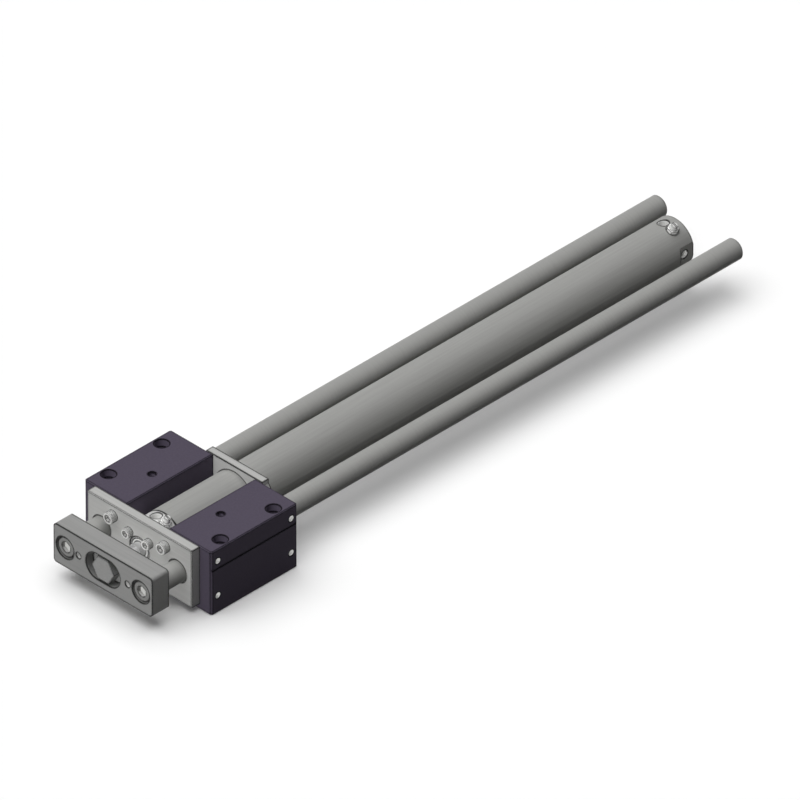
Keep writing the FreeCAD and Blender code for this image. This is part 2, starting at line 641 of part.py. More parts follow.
def make_guide_bush(side, front, name):
    """One plain guide bush with three grease grooves in its bore."""
    inset = "bush_inset + bush_length"
    start = f"blocks_rear - ({inset})" if not front else "blocks_front + bush_inset"
    body = new_body(name, x=f"{side} * guide_pitch / 2", y=start)
    inner = "guide_size / 2 + run_gap"
    outer = "bush_outer / 2"
    points = [
        (f"{outer} - bush_bevel", "0"), (outer, "bush_bevel"),
        (outer, "bush_length - bush_bevel"), (f"{outer} - bush_bevel", "bush_length"),
        (inner, "bush_length"), (inner, "0"),
    ]
    spin(body, points)
    for quarter in (1, 2, 3):
        middle = f"bush_length * {quarter} / 4"
        low = f"{middle} - bush_groove_width / 2"
        high = f"{middle} + bush_groove_width / 2"
        deep = f"{inner} + bush_groove"
        spin(body, ((f"{inner} - bush_groove", low), (deep, low), (deep, high),
                    (f"{inner} - bush_groove", high)), "PartDesign::Groove")
    return body


def make_ring(name, inner, outer, length, **place):
    """A plain turned ring that starts at its place and runs rearward."""
    body = new_body(name, **place)
    spin(body, ((inner, "0"), (outer, "0"), (outer, length), (inner, length)))
    return body


def make_retaining_ring():
    """Master of the open rings that keep the guide bushes in their bores."""
    body = new_body("retaining_ring", keep=False)
    outer = "bush_outer / 2 + ring_bite - seat_gap"
    inner = f"{outer} - ring_land"
    spin(body, ((inner, "0"), (outer, "0"), (outer, "ring_thickness"),
                (inner, "ring_thickness")))
    opening = new_sketch(body, "XZ", "-ring_thickness * 2")
    draw_rectangle(opening, "-ring_opening / 2", "ring_opening / 2", "0", "bush_outer")
    cut_through(body, opening)
    return body


def make_screw(size):
    """Master of one socket head screw: its head lies ahead of Y = 0, its shank behind."""
    body = new_body(size + "_master", keep=False)
    shank = f"{size}_shank / 2"
    head = f"{size}_head / 2"
    top = f"-{size}_head_height"
    length = f"{size}_length"
    spin(body, (
        ("0", top), (f"{head} - screw_bevel", top), (head, f"{top} + screw_bevel"),
        (head, "0"), (shank, "0"), (shank, f"{length} - screw_bevel"),
        (f"{shank} - screw_bevel", length), ("0", length),
    ))
    socket = new_sketch(body, "XZ", f"{size}_head_height / 2")
    draw_hexagon(socket, f"{size}_socket")
    cut_through(body, socket)
    return body


def make_group(name, master, places, turn=0):
    """One node of identical pieces: a copy of the master at each (x, y, z) place."""
    copies = []
    turned = FreeCAD.Rotation(FreeCAD.Vector(0, 0, 1), turn)
    for x, y, z in places:
        copy = document.addObject("App::Link", "Copy")
        copy.LinkedObject = master
        copy.Placement = FreeCAD.Placement(FreeCAD.Vector(), turned)
        locate(copy, x, y, z)
        copies.append(copy)
    group = document.addObject("Part::Compound", name)
    group.Label = name
    group.Links = copies
    exported.append(group)
    return group


def corners(across, up, y):
    """Places on the four corners of a rectangle about the cylinder axis."""
    return [(f"{left}({across}) / 2", y, f"axis_height {low} ({up}) / 2")
            for left in ("-", "") for low in ("-", "+")]


def cut_port(body, station, chamber_behind):
    """Drill the air port, the needle's stepped hole and the bleed passage to the chamber."""
    port = new_sketch(body, "XY", "port_floor", tilt="(-port_lean)")
    draw_circle(port, "0", station, "port_size")
    cut_through(body, port)
    for floor, diameter in (
        ("port_floor", "needle_orifice"),
        ("needle_seat", "needle_size + 2 * fit_gap"),
        ("needle_step", "needle_thread + 2 * fit_gap"),
        ("spot_face_floor", "spot_face"),
    ):
        hole = new_sketch(body, "XY", floor, tilt="needle_angle")
        draw_circle(hole, "0", station, diameter)
        cut_through(body, hole)
    bleed = new_sketch(body, "XZ", f"-({station})")
    draw_circle(bleed, "bleed_height * sin(needle_angle * 1 deg)",
                "bleed_height * cos(needle_angle * 1 deg)", "bleed_size")
    cut_through(body, bleed, along_normal=not chamber_behind)


def make_rod_cover():
    """The bright front cover of the cylinder, with its nose, spigot, port and cushion."""
    body = new_body("rod_cover", y="blocks_front")
    cavity = "cushion_cavity / 2"
    rear = "cover_length + spigot_length"
    gland_rear = f"{rear} - cushion_lip"
    gland_front = f"{gland_rear} - cushion_seal_length - seat_gap"
    gasket_rear = f"{rear} - gasket_inset"
    gasket_front = f"{gasket_rear} - gasket_groove_width"
    seal_rear = "-nose_length + seal_washer + rod_seal_length + 2 * seat_gap"
    bush_rear = f"{seal_rear} + rod_bush_length"
    spigot = "spigot_outer / 2"
    gland = "cushion_seal_outer / 2"
    spin(body, (
        ("rod_seal_outer / 2", "-nose_length"), ("nose_size / 2", "-nose_length"),
        ("nose_size / 2", "0"), ("cover_size / 2", "0"),
        ("cover_size / 2", "cover_length"), (spigot, "cover_length"),
        (spigot, gasket_front), ("gasket_floor", gasket_front),
        ("gasket_floor", gasket_rear),
        (spigot, gasket_rear), (spigot, rear), ("cushion_mouth / 2", rear),
        ("cushion_mouth / 2", gland_rear), (gland, gland_rear), (gland, gland_front),
        (cavity, gland_front), (cavity, bush_rear), ("rod_bush_outer / 2", bush_rear),
        ("rod_bush_outer / 2", seal_rear), ("rod_seal_outer / 2", seal_rear),
    ))
    cut_port(body, "front_port_inset", chamber_behind=True)
    taps = new_sketch(body, "XZ", "-cover_tap_depth")
    draw_four(taps, COVER_SCREW_SPAN, COVER_SCREW_SPAN, "cover_screw_shank + 2 * fit_gap")
    cut_through(body, taps)
    return body


def make_cylinder_tube():
    """The tube with its closed rear end in one piece, its port, flats and pivot holes."""
    body = new_body("cylinder_tube", y="tube_front")
    end = "tube_rear - tube_front"
    chamber_front = "spigot_length"
    chamber_rear = "chamber_rear - tube_front"
    cavity_rear = f"{end} - head_wall"
    gland_front = f"{chamber_rear} + cushion_lip"
    gland_rear = f"{gland_front} + cushion_seal_length + seat_gap"
    radius = "tube_outer / 2"
    cavity = "cushion_cavity / 2"
    gland = "cushion_seal_outer / 2"
    spin(body, (
        ("0", cavity_rear), (cavity, cavity_rear), (cavity, gland_rear), (gland, gland_rear),
        (gland, gland_front), ("cushion_mouth / 2", gland_front),
        ("cushion_mouth / 2", chamber_rear), ("bore / 2", chamber_rear),
        ("bore / 2", chamber_front), ("spigot_bore / 2", chamber_front),
        ("spigot_bore / 2", "0"), (radius, "0"), (radius, f"{end} - tube_bevel"),
        (f"{radius} - tube_bevel", end), ("0", end),
    ))
    cut_port(body, f"{end} - rear_port_inset", chamber_behind=False)
    for side in (1, -1):
        flat = new_sketch(body, "YZ", f"{side} * head_flat")
        draw_rectangle(flat, f"{end} - head_flat_length", f"{end} + tube_bevel",
                       "-tube_outer", "tube_outer")
        cut_through(body, flat, along_normal=side > 0)
        pivot = new_sketch(body, "YZ", f"{side} * (head_flat - pivot_hole_depth)")
        draw_circle(pivot, f"{end} - pivot_hole_inset", "0", "pivot_hole")
        cut_through(body, pivot, along_normal=side > 0)
    return body


def make_gasket():
    """The round-section gasket between the rod cover's spigot and the tube."""
    depth = "cover_length + spigot_length - gasket_inset - gasket_groove_width / 2"
    body = new_body("tube_gasket", y=f"blocks_front + {depth}")
    section = new_sketch(body, "XY")
    draw_circle(section, "spigot_bore / 2 - gasket_section / 2 - fit_gap", "0",
                "gasket_section")
    ring = body.newObject("PartDesign::Revolution", "Revolution")
    ring.Profile = section
    ring.ReferenceAxis = (section, ["V_Axis"])
    return body


def make_piston_rod():
    """The piston rod: threaded in front, stepped down for the piston behind."""
    body = new_body("piston_rod", y="rod_front")
    tip = "thread_front - rod_front"
    step = "cushion_front - rod_front"
    end = "tail_end - rod_front"
    thread = "rod_thread / 2"
    radius = "rod_size / 2"
    tail = "rod_tail / 2"
    spin(body, (
        ("0", tip), (f"{thread} - screw_bevel", tip), (thread, f"{tip} + screw_bevel"),
        (thread, "0"), (f"{radius} - rod_bevel", "0"), (radius, "rod_bevel"),
        (radius, step), (tail, step), (tail, f"{end} - screw_bevel"),
        (f"{tail} - screw_bevel", end), ("0", end),
    ))
    return body


def make_piston():
    """The piston, with a groove each for its wear ring, magnet and seal."""
    body = new_body("piston", y="piston_rest")
    outer = "bore / 2 - piston_gap"
    inner = "rod_tail / 2 + fit_gap"
    points = [(inner, "0"), (outer, "0")]
    for ring in ("wear_ring", "magnet", "piston_seal"):
        start = f"{ring}_inset"
        stop = f"{ring}_inset + {ring}_length + 2 * seat_gap"
        deep = f"{outer} - {ring}_depth"
        points += [(outer, start), (deep, start), (deep, stop), (outer, stop)]
    points += [(outer, "piston_length"), (inner, "piston_length")]
    spin(body, points)
    return body


def make_piston_ring(name, ring, outer):
    """A ring that fills one of the piston's grooves, out to the given radius."""
    return make_ring(name, f"bore / 2 - piston_gap - {ring}_depth + fit_gap", outer,
                     f"{ring}_length", y=f"piston_rest + {ring}_inset + seat_gap")


def make_cushion_ring(name, start, length, lead_first):
    """A cushion ring, with its lead-in bevel on the end that enters the cavity."""
    body = new_body(name, y=start)
    inner = "rod_tail / 2 + fit_gap"
    outer = "cushion_ring_outer / 2"
    far = [(outer, "cushion_lead"), (f"{outer} - cushion_lead / 2", "0")]
    near_end = [(outer, length)]
    if not lead_first:
        far = [(outer, "0")]
        near_end = [(f"{outer} - cushion_lead / 2", length),
                    (outer, f"{length} - cushion_lead")]
    spin(body, [(inner, "0"), (inner, length)] + near_end + far)
    return body


def make_nut(name, flats, hole, height, **place):
    """A plain hexagon nut that starts at its place and runs rearward."""
    body = new_body(name, **place)
    sketch = new_sketch(body, "XZ")
    draw_hexagon(sketch, flats)
    draw_circle(sketch, "0", "0", f"{hole} + 2 * fit_gap")
    pad(body, sketch, height, along_normal=False)
    return body


def make_rod_end_bracket():
    """The hexagon that carries the front plate on the rod, with a little side play."""
    body = new_body("rod_end_bracket", y="bracket_floor")
    hexagon = new_sketch(body, "XZ")
    draw_hexagon(hexagon, "bracket_flats")
    head = pad(body, hexagon, "slot_depth")
    dress(body, head, "Chamfer", find_edges(head, front_rims), "bracket_bevel")
    shank = new_sketch(body, "XZ")
    draw_circle(shank, "0", "0", "bracket_shank")
    pad(body, shank, "bracket_rear - bracket_floor", along_normal=False)
    thread = new_sketch(body, "XZ", "bracket_floor - bracket_mouth")
    draw_circle(thread, "0", "0", "rod_thread + 2 * fit_gap")
    cut_through(body, thread, along_normal=False)
    return body


def aim_outwards(body, station):
    """Stand a body on the cylinder axis at a station, its Z axis out along the needle."""
    turned = FreeCAD.Rotation(FreeCAD.Vector(0, 1, 0), 1)
    body.Placement = FreeCAD.Placement(FreeCAD.Vector(), turned)
    bind(body, "Placement.Rotation.Angle", "needle_angle * 1 deg")
    locate(body, y=station)


def spin_upright(body, points):
    """Turn a section about the Z axis; its points are (radius, height)."""
    sketch = new_sketch(body, "XZ")
    draw_outline(sketch, points)
    feature = body.newObject("PartDesign::Revolution", "Revolution")
    feature.Profile = sketch
    feature.ReferenceAxis = (sketch, ["V_Axis"])
    return feature


def make_needle_set(end, station):
    """One cushion needle with its seal ring and lock nut."""
    groove = "needle_seat + needle_seal_inset"
    groove_top = f"{groove} + needle_seal_length + 2 * seat_gap"
    radius = "needle_size / 2 - run_gap"
    thread = "needle_thread / 2 - run_gap"
    step = "needle_step + seat_gap"
    core = f"{radius} - needle_seal_depth"
    seat = "needle_seat + seat_gap"
    neck_top = f"{seat} + needle_neck_length"

    needle = new_body("cushion_needle_" + end)
    aim_outwards(needle, station)
    spin_upright(needle, (
        ("0", f"{seat} - needle_tip"), ("needle_orifice / 2 - seat_gap", seat),
        ("needle_neck / 2", seat), ("needle_neck / 2", neck_top),
        (radius, neck_top), (radius, groove), (core, groove), (core, groove_top),
        (radius, groove_top), (radius, step), (thread, step),
        (thread, "needle_top - needle_bevel"), (f"{thread} - needle_bevel", "needle_top"),
        ("0", "needle_top"),
    ))
    slot = new_sketch(needle, "XY", "needle_top - needle_slot_depth")
    draw_rectangle(slot, "-needle_thread", "needle_thread",
                   "-needle_slot_width / 2", "needle_slot_width / 2")
    cut_through(needle, slot)

    seal = new_body("needle_seal_" + end)
    aim_outwards(seal, station)
    low = f"{groove} + seat_gap"
    high = f"{low} + needle_seal_length"
    hole = "needle_size / 2 + fit_gap - run_gap"
    spin_upright(seal, ((f"{core} + run_gap", low), (hole, low), (hole, high),
                        (f"{core} + run_gap", high)))

    nut = new_body("needle_nut_" + end)
    aim_outwards(nut, station)
    sketch = new_sketch(nut, "XY", "spot_face_floor")
    draw_hexagon(sketch, "needle_nut_flats")
    draw_circle(sketch, "0", "0", "needle_thread + 2 * fit_gap")
    pad(nut, sketch, "needle_nut_height")


def make_blocks_and_flanges():
    """Guide blocks with their bushes, rings and wipers, and the two flanges."""
    ring = make_retaining_ring()
    ring_places = []
    wiper_places = []
    wiper = new_body("guide_wiper_master", keep=False)
    spin(wiper, (
        ("guide_size / 2 + seat_gap", "0"), ("bush_outer / 2 - seat_gap", "0"),
        ("bush_outer / 2 - seat_gap", "wiper_length"),
        ("guide_size / 2 + seat_gap", "wiper_length"),
    ))
    for side, word in ((1, "right"), (-1, "left")):
        make_guide_block(side, "guide_block_" + word)
        make_guide_bush(side, True, "front_bush_" + word)
        make_guide_bush(side, False, "rear_bush_" + word)
        make_guide_rod(side, "guide_rod_" + word)
        x = f"{side} * guide_pitch / 2"
        room = "ring_room / 2"
        ring_places += [
            (x, f"blocks_front + ring_inset + {room}", "axis_height"),
            (x, f"blocks_rear - ring_inset - ring_thickness - {room}", "axis_height"),
        ]
        wiper_places += [
            (x, "blocks_front + wiper_inset", "axis_height"),
            (x, "blocks_rear - wiper_inset - wiper_length", "axis_height"),
        ]
    make_group("bush_retaining_rings", ring, ring_places)
    make_group("guide_wipers", wiper, wiper_places)
    make_front_flange()
    make_rear_flange()


def make_fasteners():
    """All socket head screws, one node for each kind."""
    make_group("front_flange_screws", make_screw("flange_screw"),
               corners("flange_screw_across", "flange_screw_up", "flange_front"))
    make_group("rod_cover_screws", make_screw("cover_screw"),
               corners(COVER_SCREW_SPAN, COVER_SCREW_SPAN, "flange_front"))
    make_group("rear_flange_screws", make_screw("rear_screw"),
               corners("flange_screw_across", "rear_screw_up",
                       "blocks_rear + rear_flange_thickness - rear_screw_sink"), turn=180)
    make_group("guide_rod_screws", make_screw("guide_screw"), [
        (f"{left}guide_pitch / 2", "plate_front + plate_counterbore_depth", "axis_height")
        for left in ("-", "")])


def make_cylinder():
    """The fixed pieces of the cylinder: covers, bush and seals."""
    make_rod_cover()
    make_cylinder_tube()
    make_gasket()
    washer_front = "blocks_front - nose_length"
    seal_front = f"{washer_front} + seal_washer + seat_gap"
    bush_front = f"{seal_front} + rod_seal_length + seat_gap"
    running = "rod_size / 2 + run_gap"
    make_ring("seal_washer_ring", f"{running} + hole_play", "rod_seal_outer / 2 - fit_gap",
              "seal_washer", y=washer_front)
    make_ring("rod_seal", running, "rod_seal_outer / 2 - fit_gap", "rod_seal_length",
              y=seal_front)
    make_ring("rod_bush", running, "rod_bush_outer / 2 - fit_gap", "rod_bush_length",
              y=bush_front)
    inner = "cushion_ring_outer / 2 + run_gap"
    outer = "cushion_seal_outer / 2 - fit_gap"
    make_ring("cushion_seal_front", inner, outer, "cushion_seal_length",
              y="chamber_front - cushion_lip - cushion_seal_length")
    make_ring("cushion_seal_rear", inner, outer, "cushion_seal_length",
              y="chamber_rear + cushion_lip")
    make_needle_set("front", "front_port")
    make_needle_set("rear", "rear_port")


def make_moving_pieces():
    """Everything that travels with the piston rod, except the guide rods."""
    make_front_plate()
    make_rod_end_bracket()
    make_ring("float_washer", "bracket_shank / 2 + fit_gap", "float_washer_outer / 2",
              "float_washer_thickness", y="plate_rear")
    make_nut("rod_lock_nut", "lock_nut_flats", "rod_thread", "lock_nut_height",
             y="bracket_rear")
    make_piston_rod()
    make_cushion_ring("cushion_ring_front", "cushion_front", "cushion_front_length", True)
    make_piston()
    make_piston_ring("wear_ring", "wear_ring", "bore / 2 - run_gap")
    make_piston_ring("magnet_ring", "magnet", "bore / 2 - piston_gap - fit_gap")
    make_piston_ring("piston_seal", "piston_seal", "bore / 2 - run_gap")
    make_cushion_ring("cushion_ring_rear", "piston_back", "cushion_rear_length", False)
    make_nut("piston_nut", "piston_nut_flats", "rod_tail", "piston_nut_height",
             y="cushion_back")


def check_document():
    """Stop with a plain message when anything failed to build."""
    for item in document.Objects:
        if "Invalid" in item.State or "Error" in item.State:
            raise RuntimeError(f"{item.Label} ({item.Name}) failed: {item.State}")
    for part in exported:
        if part.Shape.isNull() or not part.Shape.isValid():
            raise RuntimeError(f"{part.Label} has no valid shape")


def write_parts():
    """Write each sub-part to its own STEP file."""
    os.makedirs("parts", exist_ok=True)
    for part in exported:
        part.Shape.exportStep(os.path.join("parts", part.Label + ".step"))
        print(f"{part.Label}: {len(part.Shape.Solids)} solid(s), "
              f"{part.Shape.Volume:.0f} mm3")


make_sheet()
make_blocks_and_flanges()
make_cylinder()
make_moving_pieces()
make_fasteners()
document.recompute()
check_document()
write_parts()
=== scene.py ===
"""Dressed model of a guided pneumatic cylinder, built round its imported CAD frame.

Lengths are in metres, in the frame of the part: +X right, +Y rearward, +Z up.
"""
import json
import logging
import math
from collections.abc import Callable
from dataclasses import dataclass, field
from enum import Enum

import bpy
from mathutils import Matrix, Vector


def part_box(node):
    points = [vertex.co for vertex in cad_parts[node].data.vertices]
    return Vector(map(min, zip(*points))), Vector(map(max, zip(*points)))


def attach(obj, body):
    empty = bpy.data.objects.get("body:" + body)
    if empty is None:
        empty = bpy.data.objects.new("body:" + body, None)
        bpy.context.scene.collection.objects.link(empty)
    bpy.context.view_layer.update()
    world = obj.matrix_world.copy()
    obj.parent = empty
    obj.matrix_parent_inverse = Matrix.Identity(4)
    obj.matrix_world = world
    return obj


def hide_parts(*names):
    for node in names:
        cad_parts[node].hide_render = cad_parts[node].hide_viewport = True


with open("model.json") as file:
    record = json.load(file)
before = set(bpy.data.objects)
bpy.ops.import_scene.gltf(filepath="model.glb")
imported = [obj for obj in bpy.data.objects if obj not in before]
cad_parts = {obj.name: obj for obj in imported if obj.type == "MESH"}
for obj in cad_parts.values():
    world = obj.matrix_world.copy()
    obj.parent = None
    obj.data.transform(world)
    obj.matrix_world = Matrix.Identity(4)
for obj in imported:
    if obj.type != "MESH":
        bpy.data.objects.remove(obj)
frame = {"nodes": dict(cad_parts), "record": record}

log = logging.getLogger("guided_cylinder")

Triple = tuple[float, float, float]
Colour = Triple
MM = 0.001
GUIDE_ROD_HEAD = 16.0 * MM


class Grain(Enum):
    """The way a surface was worked, which sets the lie of its marks."""

    BLASTED = "even and matt, as after bead blasting"
    ALONG_X = "straight marks along X"
    ALONG_Y = "straight marks along Y"
    ROUND_Y = "rings about an axis along Y"
    MOULDED = "smooth, as from a mould"


STRETCH: dict[Grain, Triple] = {
    Grain.BLASTED: (1.0, 1.0, 1.0),
    Grain.ALONG_X: (0.03, 1.0, 1.0),
    Grain.ALONG_Y: (1.0, 0.03, 1.0),
    Grain.ROUND_Y: (0.04, 1.0, 0.04),
    Grain.MOULDED: (0.6, 0.6, 0.6),
}


class NodeDesk:
    """A material under work, with short ways to add and join its shader nodes.

    Noise rarely leaves the middle of its range, so only that part of it is mapped. An edge is where
    the rounded normal and the face's own differ: the two numbers of edge_match are their dot
    products where the painted shade along an edge begins and where it is full. The Mix node has
    sockets for several kinds of value under the same names, so its colour sockets go by number.
    """

    mix_below: int = 6
    mix_above: int = 7
    mix_result: int = 2
    noise_range: tuple[float, float] = (0.25, 0.75)
    tint_range: tuple[float, float] = (0.3, 0.7)
    edge_match: tuple[float, float] = (0.995, 0.95)
    edge_samples: int = 8
    bump_strength: float = 0.6

    def __init__(self, name: str) -> None:
        """Start a node material with only a principled shader.

        Args:
            name: the material's name.
        """
        self.material = bpy.data.materials.new(name)
        self.material.use_nodes = True
        self.tree = self.material.node_tree
        self.shader = self.tree.nodes["Principled BSDF"]
        self.coords = self.add("ShaderNodeTexCoord").outputs["Object"]

    def add(self, kind: str, **settings: object) -> bpy.types.Node:
        """Add a node and set its properties.

        Args:
            kind: the node's class name.
            settings: values for its properties.

        Returns:
            The new node.
        """
        node = self.tree.nodes.new(kind)
        for name, value in settings.items():
            setattr(node, name, value)
        return node

    def join(self, source: bpy.types.NodeSocket, target: bpy.types.NodeSocket) -> None:
        """Link an output to an input."""
        self.tree.links.new(source, target)

    def noise(self, size: float, stretch: Triple, detail: float) -> bpy.types.NodeSocket:
        """Noise on object coordinates.

        Args:
            size: the width of its features in metres.
            stretch: how dense the noise is along each axis.
            detail: number of finer layers.

        Returns:
            The socket with the noise, from 0 to 1.
        """
        mapping = self.add("ShaderNodeMapping")
        mapping.inputs["Scale"].default_value = stretch
        self.join(self.coords, mapping.inputs["Vector"])
        noise = self.add("ShaderNodeTexNoise")
        noise.inputs["Scale"].default_value = 1.0 / size
        noise.inputs["Detail"].default_value = detail
        self.join(mapping.outputs["Vector"], noise.inputs["Vector"])
        return noise.outputs["Fac"]

    def spread(self, value: bpy.types.NodeSocket, low: float, high: float) -> bpy.types.NodeSocket:
        """Map a noise value to a range of numbers.

        Args:
            value: the noise.
            low: result where the noise is low.
            high: result where the noise is high.

        Returns:
            The socket with the mapped value.
        """
        mapper = self.add("ShaderNodeMapRange")
        mapper.inputs["From Min"].default_value = self.noise_range[0]
        mapper.inputs["From Max"].default_value = self.noise_range[1]
        mapper.inputs["To Min"].default_value = low
        mapper.inputs["To Max"].default_value = high
        self.join(value, mapper.inputs["Value"])
        return mapper.outputs["Result"]

    def tint(self, fac: bpy.types.NodeSocket, low: Colour, high: Colour) -> bpy.types.NodeSocket:
        """Blend two colours by a value.

        Args:
            fac: the value, from 0 to 1.
            low: colour where it is low.
            high: colour where it is high.

        Returns:
            The socket with the colour.
        """
        ramp = self.add("ShaderNodeValToRGB")
        for stop, place, colour in zip(ramp.color_ramp.elements, self.tint_range, (low, high)):
            stop.position = place
            stop.color = (*colour, 1.0)
        self.join(fac, ramp.inputs["Fac"])
        return ramp.outputs["Color"]

    def blend(self, fac: bpy.types.NodeSocket, colour: bpy.types.NodeSocket,
              over: Colour) -> bpy.types.NodeSocket:
        """Lay a colour over another one.

        Args:
            fac: how much of it covers, from 0 to 1.
            colour: what lies below.
            over: the colour on top.

        Returns:
            The socket with the colour.
        """
        mix = self.add("ShaderNodeMix", data_type="RGBA")
        self.join(fac, mix.inputs["Factor"])
        self.join(colour, mix.inputs[self.mix_below])
        mix.inputs[self.mix_above].default_value = (*over, 1.0)
        return mix.outputs[self.mix_result]

    def cover(self, fac: bpy.types.NodeSocket, over: Colour) -> None:
        """Lay a colour over what the shader has so far.

        Args:
            fac: how much of it covers, from 0 to 1.
            over: the colour on top.
        """
        base = self.shader.inputs["Base Color"]
        self.join(self.blend(fac, base.links[0].from_socket, over), base)

    def maths(self, operation: str, first: bpy.types.NodeSocket,
              second: bpy.types.NodeSocket | float = 0.0) -> bpy.types.NodeSocket:
        """One step of arithmetic.

        Args:
            operation: the Math node's operation.
            first: its first value.
            second: its second value, a socket or a number.

        Returns:
            The socket with the result.
        """
        step = self.add("ShaderNodeMath", operation=operation)
        self.join(first, step.inputs[0])
        if isinstance(second, float):
            step.inputs[1].default_value = second
        else:
            self.join(second, step.inputs[1])
        return step.outputs[0]

    def distance(self, first: bpy.types.NodeSocket,
                 second: bpy.types.NodeSocket) -> bpy.types.NodeSocket:
        """How far a point lies from an axis.

        Args:
            first: how far it lies along one direction.
            second: how far it lies square to that.

        Returns:
            The socket with the distance.
        """
        squares = (self.maths("MULTIPLY", side, side) for side in (first, second))
        return self.maths("SQRT", self.maths("ADD", *squares))

    def edges(self, width: float) -> bpy.types.NodeSocket:
        """Find the sharp edges of the piece.

        Args:
            width: how far in from an edge they reach, in metres.

        Returns:
            The socket with 1 along the edges and 0 on open faces.
        """
        rounded = self.add("ShaderNodeBevel", samples=self.edge_samples)
        rounded.inputs["Radius"].default_value = width
        surface = self.add("ShaderNodeNewGeometry")
        match = self.add("ShaderNodeVectorMath", operation="DOT_PRODUCT")
        self.join(rounded.outputs["Normal"], match.inputs[0])
        self.join(surface.outputs["Normal"], match.inputs[1])
        mapper = self.add("ShaderNodeMapRange")
        mapper.inputs["From Min"].default_value = self.edge_match[0]
        mapper.inputs["From Max"].default_value = self.edge_match[1]
        self.join(match.outputs["Value"], mapper.inputs["Value"])
        return mapper.outputs["Result"]

    def bump(self, height: bpy.types.NodeSocket, depth: float) -> None:
        """Give the surface fine relief.

        Args:
            height: the relief, from 0 to 1.
            depth: its depth in metres.
        """
        bump = self.add("ShaderNodeBump")
        bump.inputs["Strength"].default_value = self.bump_strength
        bump.inputs["Distance"].default_value = depth
        self.join(height, bump.inputs["Height"])
        self.join(bump.outputs["Normal"], self.shader.inputs["Normal"])


@dataclass(frozen=True)
class Finish:
    """One finish of the cylinder: its colour, gloss, the marks of its making and painted shade
    along its sharp edges.
    """

    name: str
    colour: Colour
    metallic: float
    roughness: float
    grain: Grain
    fine_mark: float = 0.25 * MM
    fine_detail: float = 3.0
    broad_mark: float = 1.6 * MM
    broad_detail: float = 4.0
    mark_depth: float = 0.003 * MM
    variation: float = 0.05
    gloss_variation: float = 0.06
    specular: float = 0.08
    # Painted shade along sharp edges: edge_width is how far in it reaches, and the edge shade share
    # is how much darker it is.
    edge_width: float = 2.4 * MM
    painted_edge_shade: float = 0.9

    def shade(self, share: float) -> Colour:
        """The finish's colour, lighter or darker by a share."""
        return tuple(min(1.0, channel * (1.0 + share)) for channel in self.colour)

    def build(self) -> bpy.types.Material:
        """Make the material.

        Returns:
            The finished material.
        """
        desk = NodeDesk(self.name)
        fine = desk.noise(self.fine_mark, STRETCH[self.grain], self.fine_detail)
        broad = desk.noise(self.broad_mark, STRETCH[self.grain], self.broad_detail)
        colour = desk.tint(broad, self.shade(-self.variation), self.shade(self.variation))
        # Painted shade: sharp edges and creases are darkened by the edge shade share, as a dark
        # outline.
        edges = desk.edges(self.edge_width)
        painted_edge_outline = desk.blend(edges, colour, self.shade(-self.painted_edge_shade))
        desk.join(painted_edge_outline, desk.shader.inputs["Base Color"])
        gloss = desk.spread(fine, self.roughness - self.gloss_variation,
                            self.roughness + self.gloss_variation)
        desk.join(gloss, desk.shader.inputs["Roughness"])
        desk.shader.inputs["Metallic"].default_value = self.metallic
        desk.shader.inputs["Specular IOR Level"].default_value = self.specular
        desk.bump(fine, self.mark_depth)
        self.trim(desk)
        return desk.material

    def trim(self, desk: NodeDesk) -> None:
        """Nothing more on a plain finish."""


@dataclass(frozen=True)
class AnodisedFinish(Finish):
    """Black anodising that was drilled through afterwards at the side holes."""

    bare_colour: Colour = (0.85, 0.85, 0.84)
    bare_metallic: float = 0.9
    hole_radius: float = 2.62 * MM
    skin: float = 0.25 * MM
    hole_depth: float = 12.0 * MM

    def trim(self, desk: NodeDesk) -> None:
        """Show bare metal inside the tapped holes of the blocks' outer sides.

        Args:
            desk: the material under work.
        """
        holes = mount_of("side_bolts_right")
        outer, _, middle = holes["pos_m"]
        along = holes["dims"]["spacing_x_mm"] * MM / 2
        up = holes["dims"]["spacing_y_mm"] * MM / 2
        axes = desk.add("ShaderNodeSeparateXYZ")
        desk.join(desk.coords, axes.inputs[0])
        depth = desk.maths("ABSOLUTE", axes.outputs["X"])
        from_y = desk.maths("SUBTRACT", desk.maths("ABSOLUTE", axes.outputs["Y"]), along)
        rise = desk.maths("SUBTRACT", axes.outputs["Z"], middle)
        from_z = desk.maths("SUBTRACT", desk.maths("ABSOLUTE", rise), up)
        inside = desk.maths("LESS_THAN", desk.distance(from_y, from_z), self.hole_radius)
        below = desk.maths("LESS_THAN", depth, outer - self.skin)
        near = desk.maths("GREATER_THAN", depth, outer - self.hole_depth)
        bare = desk.maths("MULTIPLY", desk.maths("MULTIPLY", inside, below), near)
        desk.cover(bare, self.bare_colour)
        desk.join(desk.maths("MULTIPLY", bare, self.bare_metallic),
                  desk.shader.inputs["Metallic"])


@dataclass(frozen=True)
class SocketFinish(Finish):
    """Steel that is bright inside the broached sockets of the guide rod screws."""

    bare_colour: Colour = (0.60, 0.60, 0.59)
    head: float = GUIDE_ROD_HEAD
    socket_radius: float = 4.6 * MM
    skin: float = 0.4 * MM

    def trim(self, desk: NodeDesk) -> None:
        """Show bare metal inside the sockets.

        Args:
            desk: the material under work.
        """
        low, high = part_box("guide_rod_screws")
        axes = desk.add("ShaderNodeSeparateXYZ")
        desk.join(desk.coords, axes.inputs[0])
        across = desk.maths("SUBTRACT", desk.maths("ABSOLUTE", axes.outputs["X"]),
                            high.x - self.head / 2)
        rise = desk.maths("SUBTRACT", axes.outputs["Z"], (low.z + high.z) / 2)
        inside = desk.maths("LESS_THAN", desk.distance(across, rise), self.socket_radius)
        below = desk.maths("GREATER_THAN", axes.outputs["Y"], low.y + self.skin)
        desk.cover(desk.maths("MULTIPLY", inside, below), self.bare_colour)


